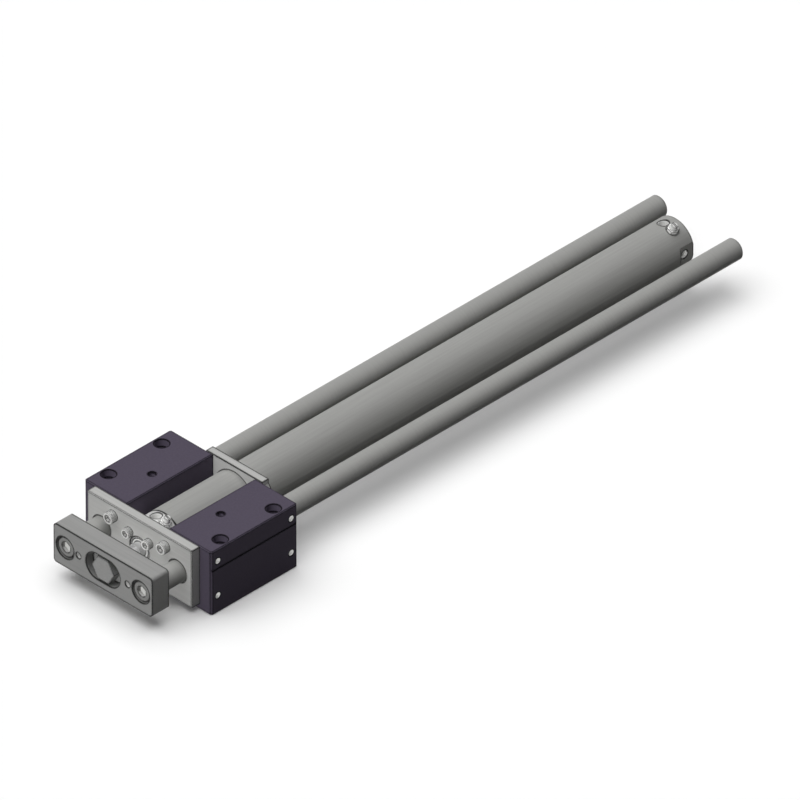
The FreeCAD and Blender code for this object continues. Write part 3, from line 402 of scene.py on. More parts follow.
FINISHES: dict[str, Finish] = {
    "black_anodised": AnodisedFinish(
        "BlackAnodising", (0.088, 0.075, 0.105), metallic=0.0, roughness=0.5,
        grain=Grain.BLASTED, specular=0.03),
    "plate_metal": Finish(
        "PlateMetal", (0.31, 0.31, 0.305), metallic=0.03, roughness=0.45, grain=Grain.ALONG_X),
    "flange_metal": Finish(
        "FlangeMetal", (0.475, 0.475, 0.465), metallic=0.05, roughness=0.42,
        grain=Grain.ALONG_X),
    "cover_metal": Finish(
        "CoverMetal", (0.72, 0.72, 0.71), metallic=0.25, roughness=0.34, grain=Grain.ROUND_Y),
    "tube_metal": Finish(
        "TubeMetal", (0.335, 0.335, 0.325), metallic=0.0, roughness=0.45, grain=Grain.ALONG_Y,
        specular=0.03),
    "ground_steel": Finish(
        "GroundSteel", (0.335, 0.335, 0.325), metallic=0.0, roughness=0.40,
        grain=Grain.ROUND_Y, specular=0.04, variation=0.03),
    "rod_chrome": Finish(
        "RodChrome", (0.72, 0.72, 0.72), metallic=0.6, roughness=0.22, grain=Grain.ROUND_Y,
        variation=0.02, painted_edge_shade=0.3),
    "plated_steel": Finish(
        "PlatedSteel", (0.76, 0.76, 0.75), metallic=0.15, roughness=0.34, grain=Grain.BLASTED,
        edge_width=1.1 * MM),
    "grey_steel": SocketFinish(
        "GreySteel", (0.33, 0.33, 0.325), metallic=0.05, roughness=0.42, grain=Grain.BLASTED,
        edge_width=1.4 * MM),
    "spring_steel": Finish(
        "SpringSteel", (0.12, 0.12, 0.125), metallic=0.8, roughness=0.35, grain=Grain.BLASTED),
    "bronze": Finish(
        "SinteredBronze", (0.48, 0.30, 0.12), metallic=0.9, roughness=0.40,
        grain=Grain.BLASTED),
    "seal_rubber": Finish(
        "SealRubber", (0.018, 0.018, 0.018), metallic=0.0, roughness=0.55,
        grain=Grain.MOULDED),
    "seal_resin": Finish(
        "BearingResin", (0.70, 0.66, 0.55), metallic=0.0, roughness=0.45, grain=Grain.MOULDED),
    "magnet": Finish(
        "BondedMagnet", (0.03, 0.028, 0.028), metallic=0.1, roughness=0.60,
        grain=Grain.MOULDED),
    "piston_metal": Finish(
        "PistonMetal", (0.70, 0.70, 0.69), metallic=0.1, roughness=0.36, grain=Grain.ROUND_Y,
        edge_width=0.1 * MM, painted_edge_shade=0.3),
    "brass": Finish(
        "TurnedBrass", (0.62, 0.44, 0.16), metallic=0.9, roughness=0.28, grain=Grain.ROUND_Y),
}


@dataclass
class Workshop:
    """Keeps one material for every finish and gives each CAD node its own."""

    materials: dict[str, bpy.types.Material]

    @classmethod
    def open(cls) -> "Workshop":
        """Build all finishes."""
        return cls({slot: finish.build() for slot, finish in FINISHES.items()})

    def dress_nodes(self) -> None:
        """Assign each CAD node the finish of its material slot."""
        for row in frame["record"]["subparts"]:
            node = frame["nodes"][row["node"]]
            for slot in node.material_slots:
                slot.material = self.materials[row["material_slot"]]
            log.info("%s: %s", row["node"], row["material_slot"])


class Bench:
    """Hand tools for mesh work, each on the object in hand.

    A face is level when its normal's share along Z is over `level`, and upright when it is under
    `upright`. A face lies at a height when it is within `reach` of it, and corners closer than
    `weld` become one.
    """

    level: float = 0.9
    upright: float = 0.5
    reach: float = 0.01 * MM
    weld: float = 0.001 * MM
    smooth_angle: float = math.radians(32.0)

    @staticmethod
    def clear() -> None:
        """Put everything down, out of edit mode."""
        if bpy.context.mode != "OBJECT":
            bpy.ops.object.mode_set(mode="OBJECT")
        bpy.ops.object.select_all(action="DESELECT")

    @staticmethod
    def take(piece: bpy.types.Object) -> None:
        """Take one object in hand.

        Args:
            piece: the object, which becomes the only one selected.
        """
        Bench.clear()
        piece.select_set(True)
        bpy.context.view_layer.objects.active = piece

    @staticmethod
    def bar(name: str, radius: float, low: float, high: float, sides: int) -> bpy.types.Object:
        """A round or many-sided bar on the Z axis.

        Args:
            name: the object's name.
            radius: out to its corners, in metres.
            low: height of its lower end.
            high: height of its upper end.
            sides: number of sides.

        Returns:
            The bar.
        """
        Bench.clear()
        bpy.ops.mesh.primitive_cylinder_add(
            vertices=sides, radius=radius, depth=high - low, location=(0, 0, (low + high) / 2))
        piece = bpy.context.object
        piece.name = name
        bpy.ops.object.transform_apply(location=True, rotation=True, scale=True)
        return piece

    @staticmethod
    def pick(piece: bpy.types.Object, test: Callable[[bpy.types.MeshPolygon], bool]) -> None:
        """Select the faces that pass a test, and stay in edit mode.

        Args:
            piece: the object.
            test: true for a face that is wanted.
        """
        Bench.take(piece)
        bpy.ops.object.mode_set(mode="EDIT")
        bpy.ops.mesh.select_mode(type="FACE")
        bpy.ops.mesh.select_all(action="DESELECT")
        bpy.ops.object.mode_set(mode="OBJECT")
        for face in piece.data.polygons:
            face.select = test(face)
        bpy.ops.object.mode_set(mode="EDIT")

    @staticmethod
    def pick_end(piece: bpy.types.Object, height: float, way: float = 1.0) -> None:
        """Select the level face at a height, and stay in edit mode.

        Args:
            piece: the object.
            height: where the face lies along Z.
            way: 1 for a face that looks upwards, -1 for one that looks down.
        """
        Bench.pick(piece, lambda face: face.normal.z * way > Bench.level
                   and abs(face.center.z - height) < Bench.reach)

    @staticmethod
    def pick_uprights(piece: bpy.types.Object, height: float) -> None:
        """Select the upright edges that are longer than a height, and stay in edit mode.

        Args:
            piece: the object.
            height: how much an edge must rise.
        """
        Bench.take(piece)
        bpy.ops.object.mode_set(mode="EDIT")
        bpy.ops.mesh.select_mode(type="EDGE")
        bpy.ops.mesh.select_all(action="DESELECT")
        bpy.ops.object.mode_set(mode="OBJECT")
        for edge in piece.data.edges:
            foot, head = (piece.data.vertices[index].co for index in edge.vertices)
            edge.select = abs(foot.z - head.z) > height
        bpy.ops.object.mode_set(mode="EDIT")

    @staticmethod
    def shift(along: Triple) -> None:
        """Move what is selected."""
        bpy.ops.transform.translate(value=along)

    @staticmethod
    def widen(scale: float) -> None:
        """Make what is selected wider or narrower about the Z axis."""
        bpy.ops.transform.resize(value=(scale, scale, 1.0), center_override=(0.0, 0.0, 0.0))

    @staticmethod
    def raise_end(rise: float, scale: float = 1.0) -> None:
        """Extrude the selected end along Z and narrow it about the Z axis.

        Args:
            rise: how far, in metres; less than 0 is downwards.
            scale: the new end's width as a share of the old one's.
        """
        bpy.ops.mesh.extrude_region_move(TRANSFORM_OT_translate={"value": (0.0, 0.0, rise)})
        if scale != 1.0:
            Bench.widen(scale)

    @staticmethod
    def leave() -> None:
        """Turn all faces outwards and leave edit mode."""
        bpy.ops.mesh.select_all(action="SELECT")
        bpy.ops.mesh.remove_doubles(threshold=Bench.weld)
        bpy.ops.mesh.normals_make_consistent(inside=False)
        bpy.ops.object.mode_set(mode="OBJECT")

    @staticmethod
    def combine(piece: bpy.types.Object, tool: bpy.types.Object, way: str) -> None:
        """Cut a tool out of a piece, or keep what both share, and drop the tool.

        Args:
            piece: the piece that stays.
            tool: the shape to work with.
            way: DIFFERENCE or INTERSECT.
        """
        Bench.take(piece)
        change = piece.modifiers.new("cut", "BOOLEAN")
        change.operation = way
        change.solver = "EXACT"
        change.object = tool
        bpy.ops.object.modifier_apply(modifier=change.name)
        bpy.data.objects.remove(tool)

    @staticmethod
    def place(piece: bpy.types.Object, out: Vector, seat: Vector) -> None:
        """Turn a piece's Z axis outwards, move it to its seat and settle it there.

        Args:
            piece: the piece, made on the Z axis.
            out: the way that its Z axis is to point.
            seat: where its origin goes.
        """
        Bench.take(piece)
        piece.rotation_euler = out.to_track_quat("Z", "Y").to_euler()
        piece.location = seat
        bpy.ops.object.transform_apply(location=True, rotation=True, scale=True)
        bpy.ops.object.shade_smooth_by_angle(angle=Bench.smooth_angle)

    @staticmethod
    def copy(master: bpy.types.Object, name: str) -> bpy.types.Object:
        """Copy a piece with its mesh.

        Args:
            master: the piece.
            name: the copy's name.

        Returns:
            The copy, in hand.
        """
        Bench.take(master)
        bpy.ops.object.duplicate(linked=False)
        twin = bpy.context.object
        twin.name = name
        return twin

    @staticmethod
    def wind(name: str, crest: float, root: float, foot: float, pitch: float,
             turns: int, steps: int) -> bpy.types.Object:
        """Wind a three-sided ridge about the Z axis.

        Args:
            name: the object's name.
            crest: radius of its sharp edge.
            root: radius of its foot.
            foot: width of its foot along Z.
            pitch: rise of one turn.
            turns: number of turns.
            steps: segments of one turn.

        Returns:
            The ridge, from a little below Z = 0 upwards.
        """
        Bench.clear()
        bpy.ops.mesh.primitive_circle_add(vertices=3, radius=1.0, fill_type="NOTHING")
        ridge = bpy.context.object
        ridge.name = name
        corners_of_section = ((crest, 0.0), (root, foot / 2), (root, -foot / 2))
        for vertex, (radius, rise) in zip(ridge.data.vertices, corners_of_section):
            vertex.co = (radius, 0.0, rise)
        screw = ridge.modifiers.new("wind", "SCREW")
        screw.axis = "Z"
        screw.angle = 2 * math.pi
        screw.screw_offset = pitch
        screw.iterations = turns
        screw.steps = steps
        screw.render_steps = steps
        bpy.ops.object.modifier_apply(modifier=screw.name)
        bpy.ops.object.mode_set(mode="EDIT")
        bpy.ops.mesh.select_all(action="SELECT")
        bpy.ops.mesh.fill_holes(sides=3)
        Bench.leave()
        return ridge


def mount_of(name: str) -> dict:
    """The record's mount of that name."""
    return next(mount for mount in frame["record"]["mounts"] if mount["name"] == name)


@dataclass
class Piece:
    """What every new piece of the cylinder has: a finish, a body and the node it stands for."""

    workshop: Workshop
    slot: str
    body: str
    node: str = ""

    def finish(self, piece: bpy.types.Object) -> None:
        """Dress a finished mesh and hang it on its body.

        Args:
            piece: the object, settled in its place.
        """
        piece.data.materials.clear()
        piece.data.materials.append(self.workshop.materials[self.slot])
        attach(piece, self.body)
        if self.node:
            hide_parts(self.node)
        log.info("%s: %d faces, %s, on %s", piece.name, len(piece.data.polygons),
                 self.slot, self.body)


@dataclass
class SocketScrews(Piece):
    """Socket head screws of one size: knurled head, rounded rim, broached hexagon.

    Each of the rim's steps takes a share of its height and a share of its width inwards. The
    countersink starts at a share of the hexagon's corners and flares out from there.
    """

    head: float = 10.0 * MM
    head_height: float = 6.0 * MM
    socket: float = 5.0 * MM
    socket_depth: float = 3.0 * MM
    shank: float = 6.0 * MM
    heads_to_rear: bool = False
    ribs: int = 36
    rib_land: float = 0.12 * MM
    rib_depth: float = 0.14 * MM
    rim: float = 0.55 * MM
    rim_steps: tuple[tuple[float, float], ...] = ((0.62, 0.12), (0.38, 0.88))
    band: float = 0.5 * MM
    broach_top: float = 1.5
    sink_start: float = 0.98
    sink_flare: float = 1.16
    sink_depth: float = 0.3 * MM
    sink_sides: int = 48

    def make_master(self, length: float) -> bpy.types.Object:
        """Make one screw with its seat at the origin and its head upwards.

        Args:
            length: the screw's length below its head.

        Returns:
            The screw.
        """
        knurl_top = self.head_height - self.rim - self.band
        screw = Bench.bar("screw_master", self.head / 2, 0.0, knurl_top, self.ribs)
        Bench.pick(screw, lambda face: abs(face.normal.z) < Bench.upright)
        bpy.ops.mesh.inset(thickness=self.rib_land, depth=-self.rib_depth, use_individual=True)
        Bench.pick_end(screw, knurl_top)
        bpy.ops.mesh.extrude_region_move(TRANSFORM_OT_translate={"value": (0, 0, self.band)})
        for share, sink in self.rim_steps:
            Bench.raise_end(share * self.rim, 1.0 - sink * self.rim / (self.head / 2))
        Bench.leave()
        Bench.pick_end(screw, 0.0, way=-1.0)
        bpy.ops.mesh.inset(thickness=(self.head - self.shank) / 2)
        Bench.raise_end(-(length - self.rim))
        Bench.raise_end(-self.rim, 1.0 - 2 * self.rim / self.shank)
        Bench.leave()
        self.cut_socket(screw)
        return screw

    def cut_socket(self, screw: bpy.types.Object) -> None:
        """Broach the hexagon and countersink it.

        Args:
            screw: the screw with its head upwards.
        """
        corner = self.socket / math.sqrt(3.0)
        broach = Bench.bar("broach", corner, self.head_height - self.socket_depth,
                           self.head_height * self.broach_top, 6)
        Bench.combine(screw, broach, "DIFFERENCE")
        top = self.head_height + self.sink_depth
        sink = Bench.bar("countersink", corner * self.sink_start,
                         self.head_height - self.sink_depth, top, self.sink_sides)
        Bench.pick_end(sink, top)
        Bench.widen(self.sink_flare)
        Bench.leave()
        Bench.combine(screw, sink, "DIFFERENCE")

    def build(self) -> None:
        """Make every screw of the node at the place that its CAD box gives."""
        low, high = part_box(self.node)
        out = Vector((0.0, 1.0 if self.heads_to_rear else -1.0, 0.0))
        seat = high.y - self.head_height if self.heads_to_rear else low.y + self.head_height
        length = seat - low.y if self.heads_to_rear else high.y - seat
        master = self.make_master(length)
        levels = sorted({round(z, 6) for z in (low.z + self.head / 2, high.z - self.head / 2)})
        count = 0
        for x in (low.x + self.head / 2, high.x - self.head / 2):
            for z in levels:
                count += 1
                screw = Bench.copy(master, f"{self.node}_{count}")
                Bench.place(screw, out, Vector((x, seat, z)))
                self.finish(screw)
        bpy.data.objects.remove(master)


@dataclass
class HexNut(Piece):
    """A hexagon nut with turned corners and a plain bore.

    The turned cone starts at a share of the flats and ends at a share of the corners.
    """

    name: str = "nut"
    flats: float = 8.3 * MM
    height: float = 3.0 * MM
    bore: float = 5.6 * MM
    bore_sides: int = 48
    seat: Vector = field(default_factory=lambda: Vector((0.0, 0.0, 0.0)))
    out: Vector = field(default_factory=lambda: Vector((0.0, 0.0, 1.0)))
    cone_start: float = 0.97
    cone_end: float = 1.02
    cone_angle: float = 30.0
    cone_sides: int = 64
    lap: float = 0.01 * MM
    spare: float = 1.0 * MM

    def turn(self, corner: float) -> bpy.types.Object:
        """The round of the lathe: a drum with a cone at each end.

        Args:
            corner: the hexagon's radius out to its corners.

        Returns:
            The drum.
        """
        narrow, wide = self.flats / 2 * self.cone_start, corner * self.cone_end
        drum = Bench.bar("turned", narrow, -self.lap, self.height + self.lap, self.cone_sides)
        flare = wide / narrow
        slope = (wide - narrow) * math.tan(math.radians(self.cone_angle))
        for end, way in ((self.height + self.lap, 1.0), (-self.lap, -1.0)):
            Bench.pick_end(drum, end, way)
            Bench.shift((0.0, 0.0, -slope * way))
            Bench.widen(flare)
            Bench.raise_end(slope * way, 1.0 / flare)
        Bench.leave()
        return drum

    def build(self) -> None:
        """Saw the hexagon, turn its corners, drill it and seat it."""
        corner = self.flats / math.sqrt(3.0)
        nut = Bench.bar(self.name, corner, 0.0, self.height, 6)
        Bench.combine(nut, self.turn(corner), "INTERSECT")
        drill = Bench.bar("drill", self.bore / 2, -self.spare, self.height + self.spare,
                          self.bore_sides)
        Bench.combine(nut, drill, "DIFFERENCE")
        Bench.place(nut, self.out, self.seat)
        self.finish(nut)


@dataclass
class ThreadRidges(Piece):
    """The ridges of an inside thread: one long helix on the wall of a hole."""

    name: str = "thread"
    wall: float = 2.5 * MM
    pitch: float = 1.0 * MM
    depth: float = 8.0 * MM
    height: float = 0.28 * MM
    foot_share: float = 0.86
    sink: float = 0.04 * MM
    inset: float = 0.5 * MM
    mouth: Vector = field(default_factory=lambda: Vector((0.0, 0.0, 0.0)))
    out: Vector = field(default_factory=lambda: Vector((0.0, 0.0, 1.0)))
    steps: int = 24

    def build(self) -> None:
        """Wind the ridge upwards on the Z axis, then seat it in its hole."""
        turns = max(1, int((self.depth - self.inset) / self.pitch) - 1)
        ridge = Bench.wind(self.name, self.wall - self.height, self.wall + self.sink,
                           self.pitch * self.foot_share, self.pitch, turns, self.steps)
        start = -self.inset - turns * self.pitch - self.pitch / 2
        Bench.place(ridge, self.out, self.mouth + self.out.normalized() * start)
        self.finish(ridge)


@dataclass
class PistonRod(Piece):
    """The piston rod: cut thread in front, chromed length, narrower tail in the piston.

    The thread starts `lead` pitches past the shoulder, with its ridge sunk a little into the core.
    """

    thread: float = 10.0 * MM
    thread_root: float = 8.7 * MM
    pitch: float = 1.25 * MM
    crest_sink: float = 0.01 * MM
    root_sink: float = 0.05 * MM
    foot_share: float = 0.95
    lead: float = 0.6
    thread_steps: int = 32
    standout: float = 5.2 * MM
    bevel: float = 0.8 * MM
    tail: float = 9.5 * MM
    sides: int = 64

    def cut_thread(self, rod: bpy.types.Object, length: float) -> None:
        """Give the front end its thread.

        Args:
            rod: the rod with its front upwards and its shoulder at the origin.
            length: how far the end reaches past the shoulder.
        """
        turns = int(length / self.pitch) - 1
        ridge = Bench.wind("thread_ridge", self.thread / 2 - self.crest_sink,
                           self.thread_root / 2 - self.root_sink,
                           self.pitch * self.foot_share, self.pitch, turns, self.thread_steps)
        bpy.ops.object.mode_set(mode="EDIT")
        bpy.ops.mesh.select_all(action="SELECT")
        Bench.shift((0.0, 0.0, self.lead * self.pitch))
        Bench.take(rod)
        ridge.select_set(True)
        bpy.ops.object.join()

    def build(self) -> None:
        """Turn the rod on the Z axis with its front upwards, cut the thread and seat it."""
        low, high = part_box(self.node)
        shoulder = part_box("front_flange")[0].y - self.standout
        tail_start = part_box("cushion_ring_front")[0].y
        radius = (high.z - low.z) / 2
        axis_height = (high.z + low.z) / 2
        rod = Bench.bar("piston_rod_threaded", radius, shoulder - tail_start, -self.bevel,
                        self.sides)
        Bench.pick_end(rod, -self.bevel)
        Bench.raise_end(self.bevel, 1.0 - self.bevel / radius)
        bpy.ops.mesh.inset(thickness=radius - self.bevel - self.thread_root / 2)
        Bench.raise_end(shoulder - low.y - self.bevel)
        Bench.raise_end(self.bevel, 1.0 - self.bevel / self.thread_root)
        Bench.pick_end(rod, shoulder - tail_start, way=-1.0)
        bpy.ops.mesh.inset(thickness=radius - self.tail / 2)
        Bench.raise_end(tail_start - high.y)
        Bench.leave()
        self.cut_thread(rod, shoulder - low.y)
        Bench.place(rod, Vector((0.0, -1.0, 0.0)), Vector((0.0, shoulder, axis_height)))
        self.finish(rod)


@dataclass
class FrontPlate(Piece):
    """The plate in front of the guide rods, with its pocket, counterbores and holes.

    It is made lying on its back, its front upwards.
    """

    corner: float = 3.0 * MM
    corner_steps: int = 8
    pocket_width: float = 36.2 * MM
    pocket_height: float = 23.0 * MM
    pocket_depth: float = 8.0 * MM
    pocket_sides: int = 96
    bracket_hole: float = 17.0 * MM
    screw_pitch: float = 80.0 * MM
    screw_hole: float = 10.6 * MM
    head_hole: float = 18.8 * MM
    head_depth: float = 11.0 * MM
    hole_sides: int = 64
    spare: float = 2.0 * MM

    def saw(self, size: Vector) -> bpy.types.Object:
        """Saw the plate and round its long corners.

        Args:
            size: its width, height and thickness.

        Returns:
            The plate.
        """
        Bench.clear()
        bpy.ops.mesh.primitive_cube_add(size=1.0, location=(0.0, 0.0, size.z / 2))
        plate = bpy.context.object
        plate.name = "front_plate_milled"
        plate.scale = size
        bpy.ops.object.transform_apply(location=True, rotation=True, scale=True)
        Bench.pick_uprights(plate, size.z / 2)
        bpy.ops.mesh.bevel(offset=self.corner, segments=self.corner_steps)
        Bench.leave()
        return plate

    def mill(self, plate: bpy.types.Object, thickness: float) -> None:
        """Mill the pocket with its two round ends.

        Args:
            plate: the plate.
            thickness: how thick it is.
        """
        between = self.pocket_width - self.pocket_height
        tool = Bench.bar("mill", self.pocket_height / 2, thickness - self.pocket_depth,
                         thickness + self.spare, self.pocket_sides)
        Bench.take(tool)
        bpy.ops.object.mode_set(mode="EDIT")
        bpy.ops.mesh.select_all(action="SELECT")
        Bench.shift((-between / 2, 0.0, 0.0))
        bpy.ops.mesh.duplicate_move(TRANSFORM_OT_translate={"value": (between, 0.0, 0.0)})
        bpy.ops.mesh.select_all(action="SELECT")
        bpy.ops.mesh.convex_hull()
        Bench.leave()
        Bench.combine(plate, tool, "DIFFERENCE")

    def drill(self, plate: bpy.types.Object, across: float, size: float, bottom: float,
              top: float) -> None:
        """Drill one hole along Z.

        Args:
            plate: the plate.
            across: the hole's place along X.
            size: its diameter.
            bottom: height of its bottom.
            top: height where the drill starts.
        """
        tool = Bench.bar("drill", size / 2, bottom, top, self.hole_sides)
        tool.location.x = across
        Bench.combine(plate, tool, "DIFFERENCE")

    def build(self) -> None:
        """Saw the plate, mill and drill it, and seat it."""
        low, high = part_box(self.node)
        size = Vector((high.x - low.x, high.z - low.z, high.y - low.y))
        plate = self.saw(size)
        self.mill(plate, size.z)
        below, above = -self.spare, size.z + self.spare
        self.drill(plate, 0.0, self.bracket_hole, below, above)
        tools = mount_of("plate_holes")["dims"]
        tool_place, tool_size = tools["spacing_x_mm"] * MM / 2, 2 * tools["hole_r_mm"] * MM
        for side in (-1.0, 1.0):
            screw_place = side * self.screw_pitch / 2
            self.drill(plate, screw_place, self.head_hole, size.z - self.head_depth, above)
            self.drill(plate, screw_place, self.screw_hole, below, above)
            self.drill(plate, side * tool_place, tool_size, below, above)
        Bench.place(plate, Vector((0.0, -1.0, 0.0)),
                    Vector(((low.x + high.x) / 2, high.y, (low.z + high.z) / 2)))
        self.finish(plate)


@dataclass
class GuideUnit:
    """The fixed part: guide blocks, flanges and the screws between them."""

    workshop: Workshop
    side_thread_pitch: float = 1.0 * MM
    side_thread_depth: float = 11.0 * MM

    def fit_screws(self) -> None:
        """The twelve socket head screws of the two flanges."""
        shop = self.workshop
        SocketScrews(shop, "plated_steel", "housing", "front_flange_screws").build()
        small = {"head": 8.5 * MM, "head_height": 5.0 * MM, "socket": 4.0 * MM,
                 "socket_depth": 2.5 * MM, "shank": 5.0 * MM, "ribs": 32}
        SocketScrews(shop, "plated_steel", "housing", "rod_cover_screws", **small).build()
        low = small | {"head_height": 3.5 * MM, "socket": 3.0 * MM, "socket_depth": 1.75 * MM,
                       "rim": 0.4 * MM}
        SocketScrews(shop, "plated_steel", "housing", "rear_flange_screws",
                     heads_to_rear=True, **low).build()

    def tap_side_holes(self) -> None:
        """Thread ridges in the four tapped holes of each outer side."""
        for side in ("right", "left"):
            hole = mount_of(f"side_bolts_{side}")
            centre, out = Vector(hole["pos_m"]), Vector(hole["axis"])
            along = hole["dims"]["spacing_x_mm"] * MM / 2
            up = hole["dims"]["spacing_y_mm"] * MM / 2
            places = ((-along, -up), (along, -up), (-along, up), (along, up))
            for count, (y, z) in enumerate(places):
                ThreadRidges(self.workshop, "piston_metal", "housing",
                             name=f"side_thread_{side}_{count + 1}",
                             wall=hole["dims"]["hole_r_mm"] * MM, pitch=self.side_thread_pitch,
                             depth=self.side_thread_depth, mouth=centre + Vector((0.0, y, z)),
                             out=out).build()

    def build(self) -> None:
        """Make all pieces of the guide unit."""
        self.fit_screws()
        self.tap_side_holes()


@dataclass
class AirCylinder:
    """The cylinder between the guides: ports, needles and their lock nuts."""

    workshop: Workshop
    nut_seat: float = 19.0 * MM
    port_pitch: float = 0.907 * MM
    pivot_pitch: float = 1.25 * MM
    tapped_share: float = 0.8

    def fit_nuts(self) -> None:
        """The lock nut of each cushion needle."""
        for joint in frame["record"]["behaviour"]["joints"]:
            if joint["name"].endswith("_turn"):
                end = joint["name"].split("_")[1]
                out = Vector(joint["axis"])
                HexNut(self.workshop, "plated_steel", "housing", f"needle_nut_{end}",
                       name=f"needle_lock_nut_{end}", out=out,
                       seat=Vector(joint["pos_m"]) + out * self.nut_seat).build()

    def tap(self, name: str, pitch: float, mouth: Vector) -> None:
        """Thread ridges in one hole.

        Args:
            name: the hole's mount.
            pitch: rise of one turn.
            mouth: where the hole opens.
        """
        hole = mount_of(name)
        ThreadRidges(self.workshop, "piston_metal", "housing", name=f"{name}_thread",
                     wall=hole["dims"]["r_mm"] * MM, pitch=pitch,
                     depth=hole["dims"]["length_mm"] * MM * self.tapped_share,
                     mouth=mouth, out=Vector(hole["axis"])).build()

    def tap_holes(self) -> None:
        """Thread ridges in the air ports and in the pivot holes."""
        for name, node in (("port_front", "rod_cover"), ("port_rear", "cylinder_tube")):
            hole = mount_of(name)
            low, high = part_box(node)
            centre = Vector((0.0, hole["pos_m"][1], (low.z + high.z) / 2))
            self.tap(name, self.port_pitch,
                     centre + Vector(hole["axis"]) * (high.x - low.x) / 2)
        for name in ("pivot_right", "pivot_left"):
            hole = mount_of(name)
            half = hole["dims"]["length_mm"] * MM / 2
            self.tap(name, self.pivot_pitch,
                     Vector(hole["pos_m"]) + Vector(hole["axis"]) * half)

    def build(self) -> None:
        """Make all pieces of the cylinder."""
        self.fit_nuts()
        self.tap_holes()


@dataclass
class MovingUnit:
    """What slides: the front plate with its guide rods, and the piston rod."""

    workshop: Workshop
    nut_flats: float = 17.0 * MM
    nut_bore: float = 10.0 * MM
    tool_pitch: float = 1.0 * MM
    tool_depth: float = 15.0 * MM

    def fit_rod(self) -> None:
        """The piston rod and the nut that locks the rod end bracket on it."""
        PistonRod(self.workshop, "rod_chrome", "slider", "piston_rod").build()
        low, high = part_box("rod_lock_nut")
        HexNut(self.workshop, "plated_steel", "slider", "rod_lock_nut", name="rod_end_lock_nut",
               flats=self.nut_flats, height=high.y - low.y, bore=self.nut_bore,
               out=Vector((0.0, 1.0, 0.0)),
               seat=Vector((0.0, low.y, (low.z + high.z) / 2))).build()

    def fit_screws(self) -> None:
        """The two large screws of the front plate into the guide rods."""
        SocketScrews(self.workshop, "grey_steel", "slider", "guide_rod_screws",
                     head=GUIDE_ROD_HEAD, head_height=10.0 * MM, socket=8.0 * MM,
                     shank=10.0 * MM, ribs=48, rim=0.8 * MM, band=1.0 * MM).build()

    def tap_tool_holes(self) -> None:
        """Thread ridges in the two tool holes of the front plate."""
        hole = mount_of("plate_holes")
        half = hole["dims"]["spacing_x_mm"] * MM / 2
        for count, x in enumerate((-half, half)):
            ThreadRidges(self.workshop, "piston_metal", "slider", name=f"tool_thread_{count + 1}",
                         wall=hole["dims"]["hole_r_mm"] * MM, pitch=self.tool_pitch,
                         depth=self.tool_depth, out=Vector(hole["axis"]),
                         mouth=Vector(hole["pos_m"]) + Vector((x, 0.0, 0.0))).build()

    def build(self) -> None:
        """Make all pieces of the moving unit."""
        FrontPlate(self.workshop, "plate_metal", "slider", "front_plate").build()
        self.fit_rod()
        self.fit_screws()
        self.tap_tool_holes()


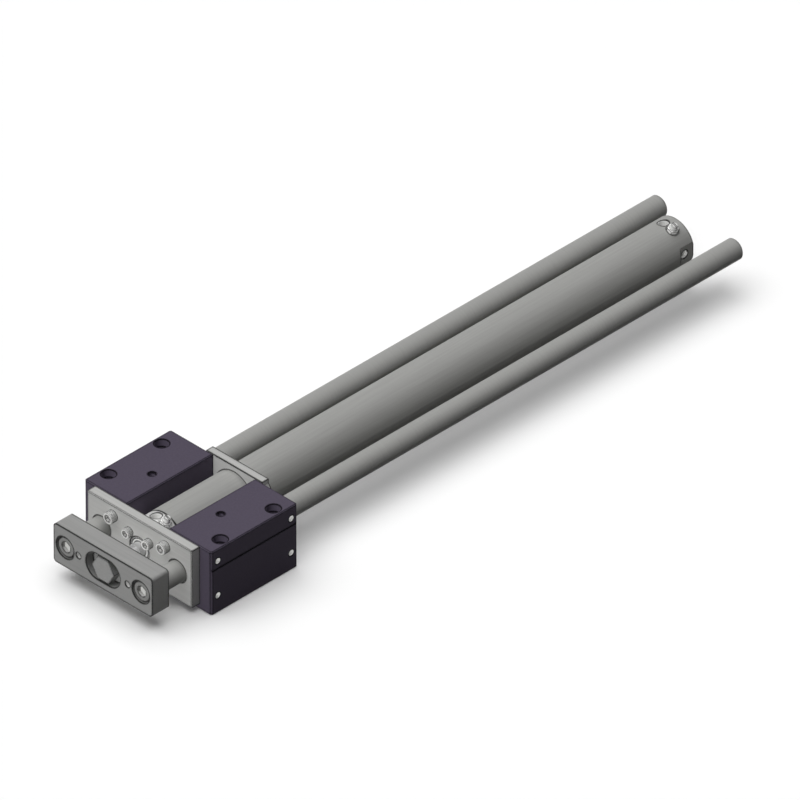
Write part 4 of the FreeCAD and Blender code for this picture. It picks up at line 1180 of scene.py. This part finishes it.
@dataclass
class Studio:
    """Floor, lights and camera.

    The floor is pale where the camera sees it and dark to the light that bounces off it. The aim is
    the point in the middle of the picture, and the elevation is that of an isometric view.
    """

    floor_size: float = 60.0
    floor_glow: float = 0.045
    floor_dark: Colour = (0.08, 0.08, 0.08)
    floor_pale: Colour = (0.95, 0.95, 0.95)
    key_strength: float = 3.1
    key_spread: float = 76.0
    key_from: Triple = (-0.14, -0.06, 1.0)
    fill_spread: float = 10.0
    fills: tuple[tuple[str, float, Triple], ...] = (
        ("front", 1.35, (0.0, -1.0, 0.0)), ("back", 0.85, (0.0, 1.0, 0.0)),
        ("left", 0.45, (-1.0, 0.0, 0.0)))
    sky_strength: float = 0.02
    azimuth: float = 45.0
    elevation: float = math.degrees(math.asin(1.0 / math.sqrt(3.0)))
    lens: float = 1500.0
    sensor: float = 36.0
    pixels_per_metre: float = 1337.5
    frame_pixels: float = 800.0
    aim: Triple = (-0.0031, 0.2229, 0.0273)
    clip_near: float = 0.1
    clip_far: float = 4.0

    def lay_floor(self) -> None:
        """A plain pale floor under the blocks."""
        Bench.clear()
        bpy.ops.mesh.primitive_plane_add(size=self.floor_size)
        floor = bpy.context.object
        floor.name = "floor"
        desk = NodeDesk("PaleFloor")
        desk.shader.inputs["Roughness"].default_value = 1.0
        desk.shader.inputs["Specular IOR Level"].default_value = 0.0
        seen = self.seen_directly(desk)
        desk.join(desk.tint(seen, self.floor_dark, self.floor_pale),
                  desk.shader.inputs["Base Color"])
        desk.shader.inputs["Emission Color"].default_value = (1.0, 1.0, 1.0, 1.0)
        desk.join(desk.maths("MULTIPLY", seen, self.floor_glow),
                  desk.shader.inputs["Emission Strength"])
        floor.data.materials.append(desk.material)

    @staticmethod
    def seen_directly(desk: NodeDesk) -> bpy.types.NodeSocket:
        """One for rays of the camera and mirror images, zero for light that bounces.

        Args:
            desk: the material under work.

        Returns:
            The socket with the answer.
        """
        path = desk.add("ShaderNodeLightPath")
        seen = path.outputs["Is Camera Ray"]
        for kind in ("Is Glossy Ray", "Is Transmission Ray"):
            seen = desk.maths("MAXIMUM", seen, path.outputs[kind])
        return seen

    @staticmethod
    def hang(name: str, strength: float, spread: float, way: Triple) -> bpy.types.SunLight:
        """Hang one lamp.

        Args:
            name: the lamp's name.
            strength: its strength.
            spread: how broad it is, in degrees.
            way: where it stands, seen from the object.

        Returns:
            The lamp.
        """
        sun = bpy.data.lights.new(name, "SUN")
        sun.energy = strength
        sun.angle = math.radians(spread)
        lamp = bpy.data.objects.new(name, sun)
        bpy.context.scene.collection.objects.link(lamp)
        lamp.rotation_mode = "QUATERNION"
        lamp.rotation_quaternion = Vector(way).to_track_quat("Z", "Y")
        return sun

    def hang_lights(self) -> None:
        """A broad soft key overhead, level fills without shadows, and a faint even sky."""
        self.hang("key", self.key_strength, self.key_spread, self.key_from)
        for name, strength, way in self.fills:
            self.hang(name, strength, self.fill_spread, way).use_shadow = False
        world = bpy.data.worlds.new("studio")
        world.use_nodes = True
        background = world.node_tree.nodes["Background"]
        background.inputs["Color"].default_value = (1.0, 1.0, 1.0, 1.0)
        background.inputs["Strength"].default_value = self.sky_strength
        bpy.context.scene.world = world

    def set_camera(self) -> None:
        """A long lens at the photograph's angle."""
        camera = bpy.data.cameras.new("camera")
        camera.lens = self.lens
        camera.sensor_width = self.sensor
        turn, tilt = math.radians(self.azimuth), math.radians(self.elevation)
        back = Vector((math.sin(turn) * math.cos(tilt), -math.cos(turn) * math.cos(tilt),
                       math.sin(tilt)))
        width = self.frame_pixels / self.pixels_per_metre
        distance = width * self.lens / self.sensor
        holder = bpy.data.objects.new("camera", camera)
        bpy.context.scene.collection.objects.link(holder)
        holder.rotation_mode = "QUATERNION"
        holder.rotation_quaternion = (-back).to_track_quat("-Z", "Y")
        holder.location = Vector(self.aim) + back * distance
        camera.clip_start = self.clip_near
        camera.clip_end = self.clip_far * distance
        bpy.context.scene.camera = holder
        bpy.context.scene.view_settings.view_transform = "Standard"

    def set_up(self) -> None:
        """Make the whole studio."""
        self.lay_floor()
        self.hang_lights()
        self.set_camera()


def main() -> None:
    """Dress the model and set the studio up round it."""
    logging.basicConfig(level=logging.INFO, format="%(message)s")
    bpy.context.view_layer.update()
    workshop = Workshop.open()
    workshop.dress_nodes()
    for unit in (GuideUnit(workshop), AirCylinder(workshop), MovingUnit(workshop)):
        unit.build()
    Studio().set_up()


if __name__ == "__main__":
    main()
